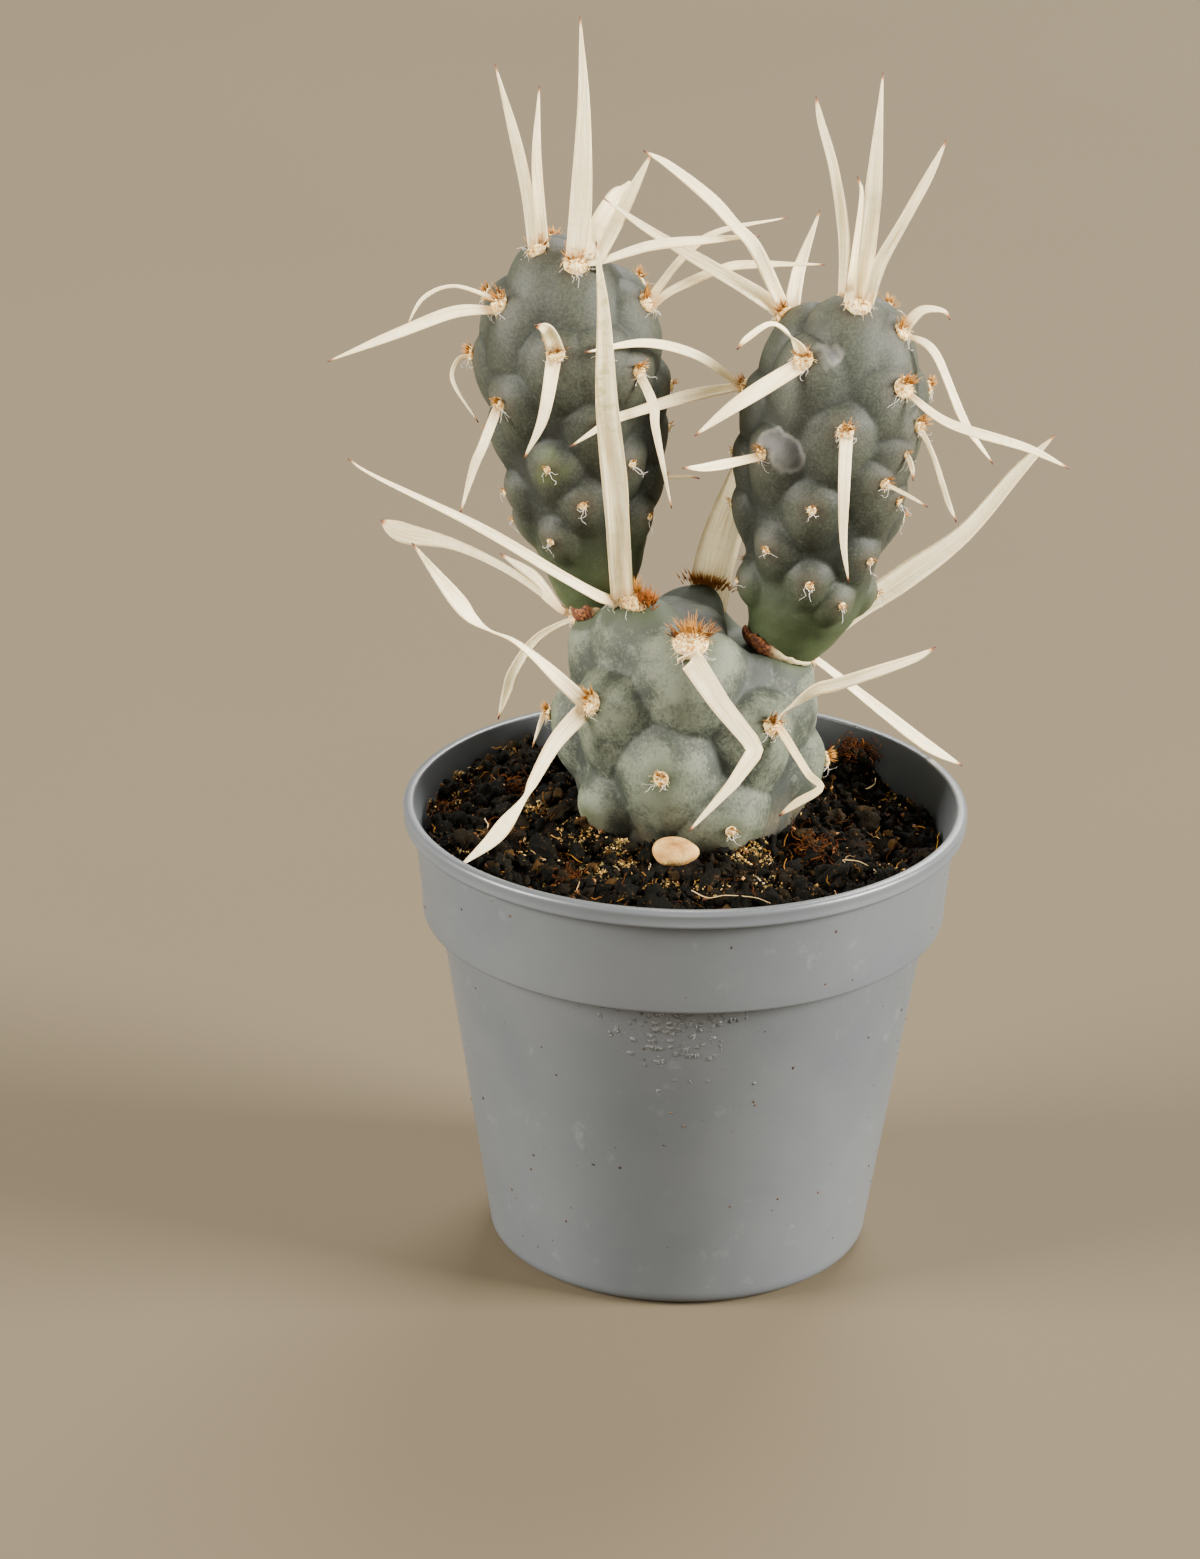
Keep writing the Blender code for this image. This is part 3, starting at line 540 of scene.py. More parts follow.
def skin(form, share, azimuth):
    """Places on the finished skin, their normals and their marks."""
    place, normal, _, _ = core(form, share, azimuth)
    height = (place - form.foot) @ form.axis
    relief, crease, mark = tubercles(form, place, height)
    relief += 0.4 * form.blend * ripple(place, 4.5, 7)
    relief += (0.03 + 0.1 * form.blend) * ripple(place, 2.2, 5) + 0.03 * ripple(place, 1.1, 6)
    for start, end, radius, depth in form.dents:
        relief -= depth * np.exp(-(gap_to_line(place, start, end) / radius) ** 2)
    place = place + normal * relief[:, None]
    for other in form.carried:
        inside = inside_neck(other, place)
        while inside.any():
            place[inside] -= normal[inside] * YIELD_STEP
            inside = inside_neck(other, place)
    return place, normal, {"relief": relief, "crease": crease, "mark": mark, "height": height}


def seat(form, name):
    """The skin under an areole and the direction straight out of it."""
    areole = form.areoles[name]
    place, normal, _ = skin(form, np.array([areole.share]), np.array([areole.azimuth]))
    return place[0], normal[0]


# %% [markdown]
# ## The three joints
#
# Heights, radii and areole places are those of the CAD solids, so each finer skin lies
# where its solid lies. An areole is placed by its height on the joint and by how far round
# it is from the front, and its pad's radius follows. The back, which no photograph shows,
# is filled along the golden-angle spiral that such plants grow by.

# %% Base joint
SQUAT_TUBERCLE = ((5.6, 4.6, 5.8, 2.4), (5.6, 4.6, 6.0, 2.4))
base = make_form(
    (0.2, 8.8, 40.8), (0.2, 8.8, 76.7),
    [(0, 12.4), (5, 13.2), (9.6, 13.4), (11.5, 13.5), (14.5, 13.7), (19, 13.8), (24, 13.3),
     (29, 11.8), (32.5, 9.4), (34.6, 6.2), (35.6, 3.0), (35.9, 0)],
    SQUAT_TUBERCLE, blend=0.75, low=-1.0, groove=(0.24, 0.6, False), bare_to=3.0)
BASE_AREOLES = [
    ("crown_left", 34.1, -56, 2.0, (6.6, 3.4, 7.6, 2.4)),
    ("left_neck", 29.9, -101, 0.9, (5.6, 4.6, 6.0, 2.2)),
    ("front_high", 31.9, 0, 2.3, (6.2, 3.2, 10.4, 3.0)),
    ("front_left", 25.3, -46, 1.6, (5.6, 3.8, 8.2, 2.6)),
    ("front_right", 23.5, 38, 1.4, (5.4, 3.4, 8.6, 2.3)),
    ("front_low", 18.7, -11, 1.05, (5.8, 4.9, 8.5, 2.8)),
    ("right_neck", 26.5, 96, 1.0, (7.0, 4.0, 9.5, 1.9)),
    ("back_high", 32.6, 158, 2.4, (5.6, 4.6, 6.0, 1.6)),
    ("left_edge", 19.9, -92, 1.0, (4.6, 4.0, 6.5, 2.4)),
    ("soil_left", 12.6, -46, 0.8, (3.8, 3.4, 4.2, 2.4)),
    ("soil_right", 12.3, 18, 0.75, (6.0, 5.0, 5.0, 2.6)),
]

# %% Left joint
SLENDER_TUBERCLE = ((1.7, 1.9, 1.6, 1.1), (6.0, 3.8, 10.0, 1.3))
left = make_form(
    (-10.3, 11.5, 73.6), (-15.4, 14.5, 117.6),
    [(0, 3.5), (4, 5.7), (12.5, 7.8), (22.5, 9.3), (28, 10.1), (32, 9.8), (36.6, 8.1),
     (40.5, 5.5), (42.8, 2.6), (43.5, 0)],
    SLENDER_TUBERCLE, blend=0.14, low=-0.3, groove=(0.14, 0.12, True), neck=(0.17, 0.4))
LEFT_AREOLES = [
    ("crown_left", 42.2, -35, 1.4),
    ("crown", 40.8, 17, 1.8),
    ("high_left", 37.2, -55, 1.5),
    ("high_right", 35.4, 70, 1.5),
    ("front_high", 32.5, -7, 1.4),
    ("front_hidden", 32.3, 22, 1.0),
    ("left_high", 31.0, -89, 1.2),
    ("front_right", 29.3, 43, 1.3),
    ("front_left", 27.0, -48, 1.3),
    ("right_edge", 25.5, 87, 1.1),
    ("middle", 24.0, 17, 0.8),
    ("left_middle", 22.2, -87, 1.0),
    ("right_middle", 20.5, 87, 0.9),
    ("green_eye", 19.3, -22, 0.9),
    ("right_front", 18.7, 36, 1.0),
    ("left_low", 15.3, -76, 0.8),
    ("right_needle", 15.0, 80, 0.9),
    ("centre_low", 14.7, -1, 1.0),
    ("left_foot", 11.5, -86, 0.7),
    ("right_low", 11.5, 55, 0.8),
    ("front_foot", 10.3, -31, 0.9),
]

# %% Right joint
right = make_form(
    (12.4, 9.0, 69.3), (18.4, 10.5, 112.3),
    [(0, 3.9), (2.7, 5.4), (6.2, 7.0), (12.5, 8.0), (18.7, 9.2), (24.5, 9.8), (31, 9.3),
     (36.5, 7.6), (40.3, 5.1), (42.2, 2.4), (42.8, 0)],
    SLENDER_TUBERCLE, blend=0.14, low=-0.3, groove=(0.14, 0.12, True), neck=(-0.28, -1.9))
RIGHT_AREOLES = [
    ("crown", 41.7, 2, 1.9),
    ("high_right", 39.6, 57, 1.4),
    ("high_left", 38.1, -106, 1.6),
    ("front_high", 36.0, -35, 1.5),
    ("right_front", 34.5, 42, 1.6),
    ("right_edge", 30.2, 59, 1.3),
    ("left_edge", 29.7, -97, 1.4),
    ("centre", 29.7, 3, 1.4),
    ("peg", 27.2, 48, 0.7),
    ("front_left", 25.0, -47, 1.4),
    ("bristle", 24.1, 34, 1.2),
    ("left_dark", 22.4, -95, 0.8),
    ("right_small", 21.8, 49, 1.0),
    ("front_middle", 20.3, -9, 1.1),
    ("left_low", 16.6, -91, 1.0),
    ("right_low", 14.3, 41, 1.0),
    ("front_low_left", 14.1, -37, 1.0),
    ("front_low", 10.9, -2, 1.0),
    ("right_foot", 8.7, 27, 0.9),
    ("left_foot", 8.3, -71, 0.7),
]

# %% Areoles on the joints
GOLDEN_ANGLE = 137.508
SPIRAL_STEP = 0.45
BACK_FROM = 92
BACK_PAD = 1.1
CROWN_MARGIN = 1.5


def fill_the_back(form, height, spacing):
    """Add areoles on the side away from the front, along the spiral, above a height."""
    turn = 0
    while height < form.outline[-1, 0] - CROWN_MARGIN:
        turn += 1
        height += SPIRAL_STEP
        azimuth = (turn * GOLDEN_ANGLE) % 360 - 180
        if abs(azimuth) < BACK_FROM:
            continue
        place = core_at(form, height, azimuth)[0]
        if min(np.linalg.norm(place - other.core) for other in form.areoles.values()) > spacing:
            add_areole(form, f"back_{turn}", height, azimuth, BACK_PAD)


for form, rows, lowest, spacing in (
        (base, BASE_AREOLES, 13.6, 10.5), (left, LEFT_AREOLES, 7.0, 6.4),
        (right, RIGHT_AREOLES, 7.0, 6.4)):
    for row in rows:
        add_areole(form, *row)
    fill_the_back(form, lowest, spacing)
    print(f"{len(form.areoles)} areoles, {len(rows)} of them placed by hand")
base.carried = [left, right]
# Each dent follows a line from a start to an end, and has a radius and a depth.
base.dents = [
    ((2.5, 13.0, 76.0), (2.5, 13.0, 76.0), 6.0, 1.9),
    ((7.6, 6.0, 73.0), (8.0, 18.0, 73.0), 3.1, 6.4),
    ((-12.6, 8.2, 74.9), (-12.6, 8.2, 74.9), 2.0, 0.9),
]

# %% [markdown]
# ## Skin
#
# The base joint is pale grey-green under a granular, waxy bloom that is whitest on its
# ridges, and greener round its areoles; its grooves and creases are darker and greener
# with painted shade. The upper joints are darker, with fine grain, painted shade in their
# grooves and as a dark line in each crease, and fresh green near the foot, which is made
# lighter there as painted light. The bloom is noise at the size of its grains, gathered by
# the height on the tubercles. A few round patches differ: skin that peels, fresh green
# skin, and skin that has lost its bloom.

# %% Base skin finish
SKIN_GLOW = {"Subsurface_Scale": 0.001, "Subsurface_Radius": (0.6, 1.0, 0.4)}


def base_skin():
    """Grey-green skin with a granular white bloom, thinner in its grooves, and painted shade in its
    grooves and creases.
    """
    finish = Finish("base_skin_bloom", Roughness=0.68, Subsurface_Weight=0.10, **SKIN_GLOW)
    ridge = finish.read("relief", -0.8, 2.6)
    clouds = finish.noise(330, 4)
    grain = finish.noise(2300, 4, rough=0.85)
    # Painted shade: the flesh is darkest where the relief is lowest, between the tubercles.
    flesh_with_painted_shade = finish.ramp(ridge, (0.0, (25, 31, 24)), (0.5, (37, 43, 31)), (1.0, (50, 56, 40)))
    level = finish.math("ADD", finish.times(ridge, 0.30), finish.times(clouds, 0.80))
    level = finish.math("SUBTRACT", level, finish.times(finish.read("bare"), 0.75))
    bloom = finish.span(finish.math("ADD", grain, level), 0.94, 1.22)
    bald = finish.times(finish.read("bare"), 0.90)
    halo = finish.math("MAXIMUM", finish.read("mark", 0.30, 0.95), bald)
    cork = finish.times(finish.read("height", 14.0, 9.5), finish.span(clouds, 0.30, 0.65))
    # The crease tint is painted shade in the creases; bloom, halo and cork are the skin's own
    # colours.
    colour = finish.tint(
        flesh_with_painted_shade, (bloom, 0.66, (104, 109, 90)), (halo, 0.70, (44, 56, 24)),
        (finish.read("crease"), 0.30, (34, 40, 30)), (cork, 0.6, (70, 56, 32)))
    return finish.done(Base_Color=colour, Normal=finish.bump(grain, 0.08))


# %% Upper skin finish
def upper_skin(name):
    """Dark slate-green skin with fine grain, painted shade in its grooves and creases, and a green
    foot made lighter as painted light.
    """
    finish = Finish(
        name, Roughness=0.62, Specular_IOR_Level=0.35, Subsurface_Weight=0.06, **SKIN_GLOW)
    ridge = finish.read("relief", -0.3, 1.1)
    clouds = finish.noise(240, 4)
    grain = finish.noise(3000, 4, rough=0.85)
    # Painted shade: the flesh is darkest where the relief is lowest, between the tubercles.
    flesh_with_painted_shade = finish.ramp(ridge, (0.0, (20, 23, 17)), (0.5, (29, 33, 24)), (1.0, (40, 43, 33)))
    # The green near the foot is the skin's own, made lighter than it is as painted light where the
    # foot lies in shade.
    flesh_with_painted_shade = finish.tint(
        flesh_with_painted_shade, (finish.read("height", 24.0, 42.0), 0.5, (34, 38, 28)),
        (finish.span(clouds, 0.44, 0.66), 0.35, (42, 47, 42)),
        (finish.read("height", 12.0, 1.0), 0.80, (64, 77, 43)),
        (finish.read("fresh"), 0.65, (78, 92, 42)))
    level = finish.math("ADD", finish.times(ridge, 0.14), finish.times(clouds, 0.25))
    bloom = finish.span(finish.math("ADD", grain, level), 0.64, 0.90)
    peel = finish.read("peel")
    film = finish.times(peel, finish.span(clouds, 0.20, 0.75))
    edge = finish.times(peel, finish.math("SUBTRACT", 1.0, peel))
    # The crease tint is painted shade, a dark line in each crease.
    colour = finish.tint(
        flesh_with_painted_shade, (bloom, 0.50, (84, 87, 71)), (finish.read("mark", 0.30, 0.95), 0.40, (64, 50, 36)),
        (finish.read("crease"), 0.80, (20, 23, 19)), (film, 0.70, (104, 101, 103)),
        (finish.times(edge, clouds), 2.6, (136, 134, 126)))
    return finish.done(Base_Color=colour, Normal=finish.bump(grain, 0.05))


# %% Skins
# For each mark, the width of its soft edge, then the height, angle and radius of its patches.
PATCHES = {
    "peel": (0.9, {"right_skin": [(26.2, -43, 2.3), (25.9, -33, 2.4), (37.0, -21, 1.9)]}),
    "fresh": (1.8, {"left_skin": [(19.3, -22, 2.8)]}),
    "bare": (2.5, {"base_skin": [(33.6, 150, 11.5), (34.4, -50, 5.4)]}),
}
SCAR_BAND = 2.4


def patch_mark(form, place, patches, edge):
    """1 inside round patches of the skin and 0 outside, with an uneven edge of some width."""
    mark = np.zeros(len(place))
    uneven = 0.5 * ripple(place, 1.9, 31) + 0.2 * ripple(place, 0.7, 32)
    for height, azimuth, radius in patches:
        away = np.linalg.norm(place - core_at(form, height, azimuth)[0], axis=1) + uneven
        mark = np.maximum(mark, smooth_step((radius - away) / edge))
    return mark


def band_mark(form, place):
    """1 right beside the necks of the joints that a joint carries, fading to 0."""
    mark = np.zeros(len(place))
    for other in form.carried:
        away = place - other.foot
        height = away @ other.axis
        radius = np.linalg.norm(away - height[:, None] * other.axis, axis=1)
        distance = np.hypot(height, radius - other.outline[0, 1])
        mark = np.maximum(mark, smooth_step((SCAR_BAND - distance) / 1.4))
    return mark


def make_skin(name, form, rings, columns, finish):
    """A joint's skin: rings from its foot to one vertex on its crown."""
    share, turn = np.meshgrid(np.arange(rings) / rings, turns(columns), indexing="ij")
    place, _, marks = skin(form, np.append(share, 1.0), np.append(turn, 0.0))
    for mark, (edge, patches) in PATCHES.items():
        marks[mark] = patch_mark(form, place, patches.get(name, ()), edge)
    marks["bare"] = np.maximum(marks["bare"], band_mark(form, place))
    return make_piece(name, place, dome_faces(rings, columns), finish, marks)


base_piece = make_skin("base_skin", base, 150, 300, base_skin())
left_piece = make_skin("left_skin", left, 170, 230, upper_skin("left_skin_slate"))
right_piece = make_skin("right_skin", right, 170, 230, upper_skin("right_skin_slate"))
for piece, node, slot in (
        (base_piece, "base_joint", "base_skin"), (left_piece, "left_joint", "left_skin"),
        (right_piece, "right_joint", "right_skin")):
    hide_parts(node)

# %% [markdown]
# ## Areoles: wool
#
# An areole is a small cushion of cream wool, sunk a little into its tubercle. A fur of
# fine hairs round a lumpy cushion looks right from near and far, where a plain disc would
# look like a button. Longer cobweb hairs hang from many of them and cling to the skin.

# %% Wool cushions
JOINTS = {"base": base, "left": left, "right": right}
WIDE_PADS = {("base", "crown_left"): (1.75, 0.75), ("base", "front_high"): (1.08, 0.82)}
NO_WOOL = [("base", "soil_left"), ("base", "back_high")]
WOOL_HAIRS = 55
CUSHION_HEIGHT = 0.55
CUSHION_LEAN = math.radians(100)


def wool_radius(name, key, areole):
    """The radius of an areole's wool: smaller on the upper joints, least near their feet."""
    share = 0.85 if name == "base" else 0.48 + 0.32 * smooth_step((areole.share - 0.45) / 0.3)
    return 0.0 if (name, key) in NO_WOOL else areole.pad * share


def cushions(name, form):
    """Each areole of a joint with its seat, the way out of it and its wool's radius."""
    for key, areole in form.areoles.items():
        place, normal = seat(form, key)
        yield key, areole, place, normal, wool_radius(name, key, areole)


def add_cushion(bunch, place, normal, right, up, radius, seed):
    """A lumpy low dome of wool with its edge sunk in the skin."""
    rings, sides = 7, 22
    vertices = dome_points(
        place, normal, right, up, radius, CUSHION_HEIGHT, CUSHION_LEAN, rings, sides)
    vertices = np.array(vertices + [place + normal * radius * 0.5])
    lumps = ripple(vertices, radius * 0.5, seed) + 0.6 * ripple(vertices, radius * 0.22, seed + 1)
    vertices += normal * (lumps * radius * 0.11)[:, None]
    bunch.add(vertices, dome_faces(rings, sides), along=0.3, shade=0.5)


def add_wool_hairs(bunch, place, normal, right, up, radius, draw):
    """Short curled hairs that stand out all over a cushion."""
    for _ in range(int(WOOL_HAIRS * min(radius, 1.2) ** 2)):
        turn = draw.uniform(0, 2 * math.pi)
        out = right * math.cos(turn) + up * math.sin(turn)
        start = place + out * radius * draw.uniform(0.45, 1.0) + normal * radius * 0.25
        curl = unit(stray(draw, 1))
        length = draw.uniform(0.25, 0.6) * (0.4 + 0.5 * radius)
        line = []
        for share in (0, 0.3, 0.6, 0.8, 1.0):
            way = out * share * 0.8 + normal * share * (1 - share) * 1.5 + curl * share**2 * 0.7
            line.append(start + length * (way + np.array((0, 0, -0.35)) * share**2))
        add_strand(bunch, line, 0.03, shade=draw.random())


def make_wool(name, form, finish):
    """Every cushion of one joint with its hairs."""
    bunch = Bunch()
    draw = random.Random(name)
    for number, (key, areole, place, normal, radius) in enumerate(cushions(name, form)):
        if radius:
            wide, high = WIDE_PADS.get((name, key), (1, 1))
            shape = (place, normal, areole.across * wide, areole.up * high, radius)
            add_cushion(bunch, *shape, seed=number)
            add_wool_hairs(bunch, *shape, draw)
    return bunch.finish(f"{name}_wool", finish)


# %% Cobweb hairs
COBWEB_HAIRS = 9
COBWEB_STEPS = 8


def make_cobwebs(name, form, finish):
    """Long loose hairs that hang from the lower edge of the cushions."""
    bunch = Bunch()
    draw = random.Random(name + "web")
    for _, areole, place, normal, pad in cushions(name, form):
        for _ in range(int(COBWEB_HAIRS * pad)):
            point = place + normal * 0.3 - areole.up * pad * draw.uniform(0.3, 0.9)
            point = point + areole.across * pad * draw.uniform(-0.9, 0.9)
            down = -areole.up * draw.uniform(0.4, 1.2) + areole.across * draw.gauss(0, 0.8)
            way = unit(down + normal * 0.4)
            line = [point]
            for _ in range(COBWEB_STEPS):
                way = unit(way + stray(draw, 0.45) - normal * 0.12)
                point = point + way * draw.uniform(0.16, 0.34)
                line.append(point)
            add_strand(bunch, line, 0.024, tip=0.6, shade=draw.random())
    return bunch.finish(f"{name}_cobwebs", finish)


# %% [markdown]
# ## Areoles: bristles
#
# Each cushion carries a tuft of stiff bristles at its upper side, rust brown at the root
# and straw yellow at the tip. They are strands with three sides, about two and a half
# thousand in all, and each joint's draws are seeded, so no tuft changes between renders.
# The largest areoles get more tufts from a table: how far right of and above the areole
# each one stands, how wide it spreads, its count, its length, and how red it is.

# %% Bristle tufts
BRISTLES = 44
EXTRA_TUFTS = {
    ("base", "crown_left"): [(2.3, 0.5, 1.5, 240, 1.5, 0.95)],
    ("base", "front_high"): [(0.0, 0.9, 1.5, 170, 1.2, 0.95), (-1.9, 0.7, 0.3, 12, 1.9, 0.95),
                             (1.9, 0.8, 0.3, 12, 2.2, 0.95)],
    # The back tuft's low rust share gives it paler colours, painted light for a tuft that sits in
    # shade between the joints.
    ("base", "back_high"): [(0.7, 2.0, 2.4, 240, 1.3, 0.3)],
}


def add_tuft(bunch, place, normal, up, across, spread, count, length, rust, draw):
    """Stiff bristles that fan out from one spot."""
    for _ in range(count):
        side = draw.gauss(0, 0.5)
        rise = draw.gauss(0, 0.35)
        start = place + across * side * spread + up * rise * spread - normal * 0.2
        lift = 0.45 + 0.7 * rise + draw.gauss(0, 0.2)
        way = unit(normal + up * lift + across * (0.9 * side + draw.gauss(0, 0.16)))
        reach = length * draw.uniform(0.55, 1.0)
        bend = up * draw.uniform(-0.06, 0.16) * reach
        line = [start, start + way * reach * 0.5 + bend * 0.3, start + way * reach + bend]
        add_strand(bunch, line, draw.uniform(0.06, 0.11), tip=0.12, shade=draw.random(), rust=rust)


def make_bristles(name, form, finish):
    """The tufts of one joint."""
    bunch = Bunch()
    draw = random.Random(name + "tuft")
    for key, areole, place, normal, pad in cushions(name, form):
        ways = (normal, areole.up, areole.across)
        top = place + normal * 0.35 * pad + areole.up * 0.4 * pad
        count = int(BRISTLES * pad * smooth_step(pad / 1.1))
        length = 0.45 + 1.05 * pad
        add_tuft(bunch, top, *ways, 0.6 * pad, count, length, draw.uniform(0.2, 0.6), draw)
        for right_by, up_by, *tuft in EXTRA_TUFTS.get((name, key), ()):
            spot = place + areole.across * right_by + areole.up * up_by + normal * 0.3
            add_tuft(bunch, spot, *ways, *tuft, draw)
    return bunch.finish(f"{name}_bristles", finish)


# %% Wool and bristle finishes
def wool():
    """Cream wool, a little darker in places."""
    finish = Finish("areole_wool", Roughness=0.9)
    clouds = finish.noise(2600, 3)
    colour = finish.ramp(finish.span(clouds, 0.36, 0.62), (0.0, (150, 96, 34)),
                         (0.45, (214, 176, 104)), (1.0, (244, 224, 168)))
    hair = finish.mix(finish.read("shade"), (214, 172, 96), (248, 232, 184))
    colour = finish.mix(finish.read("along", 0.35, 0.7), colour, hair)
    return finish.done(Base_Color=colour, Normal=finish.bump(clouds, 0.12))


def bristle():
    """Rust at the root and straw at the tip, redder by each tuft's rust share: high in the dense
    tufts of the front areoles, and low in the shaded back tuft as painted light.
    """
    finish = Finish("bristle_rust", Roughness=0.6, Specular_IOR_Level=0.15)
    root = finish.mix(finish.read("rust"), (150, 84, 14), (64, 16, 1))
    tip = finish.mix(finish.read("rust"), (214, 160, 70), (128, 56, 5))
    colour = finish.mix(finish.read("along", 0.2, 0.95), root, tip)
    colour = finish.tint(colour, (finish.read("shade"), 0.25, (190, 132, 44)))
    return finish.done(Base_Color=colour)


wool_finish, bristle_finish = wool(), bristle()
cobweb_finish = two_tone("cobweb_hair", (214, 206, 192), (244, 240, 230), Roughness=0.6)
for name, form in JOINTS.items():
    for piece in (make_wool(name, form, wool_finish), make_cobwebs(name, form, cobweb_finish),
                  make_bristles(name, form, bristle_finish)):
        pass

# %% [markdown]
# ## Papery spines
#
# The spines are what the plant is named for: flat ribbons that look cut from dry paper,
# channelled along the middle, frayed into fine lengthwise fibres, and ended by a dark
# needle point. Each is a strip along a smooth line, seven points across and curled, with
# real thickness, so that it can turn its edge to the camera. Each row below gives the places
# along one spine, to the right, back and up from its areole, with the spine's width there.
# Its face looks to the front where the row says nothing else.

# %% Spine rows for the base joint
def spine(areole, places, faces=(FRONT,), green=0.0, tan=0.0, creased=False):
    """One papery spine: its places, each with its width there, and the ways its face looks."""
    places = np.array(places, float)
    return SimpleNamespace(
        areole=areole, places=places, faces=faces, green=green, tan=tan, creased=creased)


SPINES = {}
SPINES["base"] = [
    spine("crown_left", [(-0.9, 0, 0.2, 2.6), (-1.6, -4.1, 11.1, 2.7), (-2, -5.4, 16.4, 2.9),
          (-3, -7.3, 26.4, 2.5), (-3.5, -7.8, 37.1, 1.4), (-4.4, -8.2, 45.1, 0.1)], green=0.6),
    spine("crown_left", [(-1.8, 0, -0.3, 1.3), (-3.9, -1.3, 1, 1.4), (-8, -4, 4.4, 1.2),
          (-17.1, -4.9, 10.3, 1.1), (-28.9, -6.1, 16.7, 0.4), (-31.9, -6.5, 18.9, 0.1)],
          [FRONT_UP]),
    spine("left_neck", [(-0.5, 0, 0.4, 0.7), (-7.8, 3.1, 4.7, 0.9), (-14.2, 5.4, 7, 1.3),
          (-19.7, 7, 7.7, 2.4), (-21.6, 7.5, 8.3, 1.9), (-23, 8, 9, 0.2)], [FRONT_UP, FRONT],
          green=0.5),
    spine("left_neck", [(-0.5, 0, 0, 0.5), (-4.5, 1.5, -2.9, 1), (-7.2, 3.1, -7.6, 1.3),
          (-8, 3.8, -10.4, 1.2), (-9.1, 4, -14.2, 0.1)]),
    spine("left_neck", [(-1.9, 0, 1.3, 0.9), (-3.6, 1.4, 2.8, 1.6), (-5.4, 2.9, 4.4, 1.5),
          (-9, 5, 6.2, 0.1)]),
    spine("front_left", [(-0.3, 0, -0.3, 1.8), (-6.4, -2, 6.2, 1.4), (-9, -2.4, 8.4, 1),
          (-11.4, -2.8, 9.6, 0.5), (-13.3, -3, 11, 1.7), (-15.1, -3.3, 13.3, 2),
          (-20.2, -4, 20.5, 0.1)], [FRONT, ABOVE, FRONT], green=0.5),
    spine("front_left", [(-0.9, 0, -1.2, 2.3), (-3.9, -2.7, -3.8, 1.8), (-6.4, -5.8, -7.5, 1.2),
          (-7.3, -6.9, -9, 0.6), (-9.5, -8.9, -11.5, 1.8), (-11.2, -10, -13.2, 1.5),
          (-14.7, -11.8, -15.6, 0.1)], [FRONT, FRONT_UP, FRONT]),
    spine("front_right", [(0, 0, -0.1, 0.8), (1.2, -0.9, 2, 0.9), (4.6, -2.3, 5.3, 1.5),
          (7.4, -3, 6.5, 1.6), (15.3, -4.4, 10, 1), (18, -5, 11.8, 0.1)],
          [RIGHT, FRONT, FRONT_UP]),
    spine("front_right", [(0.8, 0, -0.3, 1), (4, -3.9, -4.1, 0.9), (5.5, -4.6, -5.6, 0.8),
          (2.8, -5.4, -7.2, 1), (0.8, -5.8, -8.7, 0.1)], [FRONT_RIGHT, FRONT], tan=0.45),
    spine("right_neck", [(0.3, 0, 0.3, 0.6), (4.4, 2.3, 4.4, 2.3), (10.7, 3.9, 8.7, 3),
          (17.5, 5.2, 13.7, 2.1), (23.7, 6.9, 20.9, 1.5), (28, 8, 25.1, 0.1)], [FRONT_UP, FRONT]),
    spine("right_neck", [(0.4, 0, 0, 0.8), (11.9, 4.1, -10.7, 1.5), (15, 4.8, -13.2, 1.3),
          (18.5, 5.6, -15.5, 0.1)], [FRONT_UP]),
    spine("back_high", [(-1, 0, -0.5, 4.7), (-0.4, 1.5, 3.2, 4.8), (0.9, 3.4, 7.5, 4.4),
          (2.8, 5.1, 12.9, 3.4), (4.7, 6.6, 20, 0.7)]),
    spine("left_edge", [(-0.5, 0, 0.1, 0.7), (-1, -0.7, -0.8, 0.6), (-2, -1.5, -3.8, 0.1)]),
    spine("front_high", [(0, -1.7, -1.1, 2.9), (3.4, -4.1, -5.6, 2.3), (6.9, -6.7, -9.1, 2),
          (7.4, -7.3, -10.1, 1.9), (4.9, -8.8, -13.5, 1.4), (1.7, -9.8, -17, 0.6),
          (0, -10.2, -18.9, 0.1)], creased=True),
]

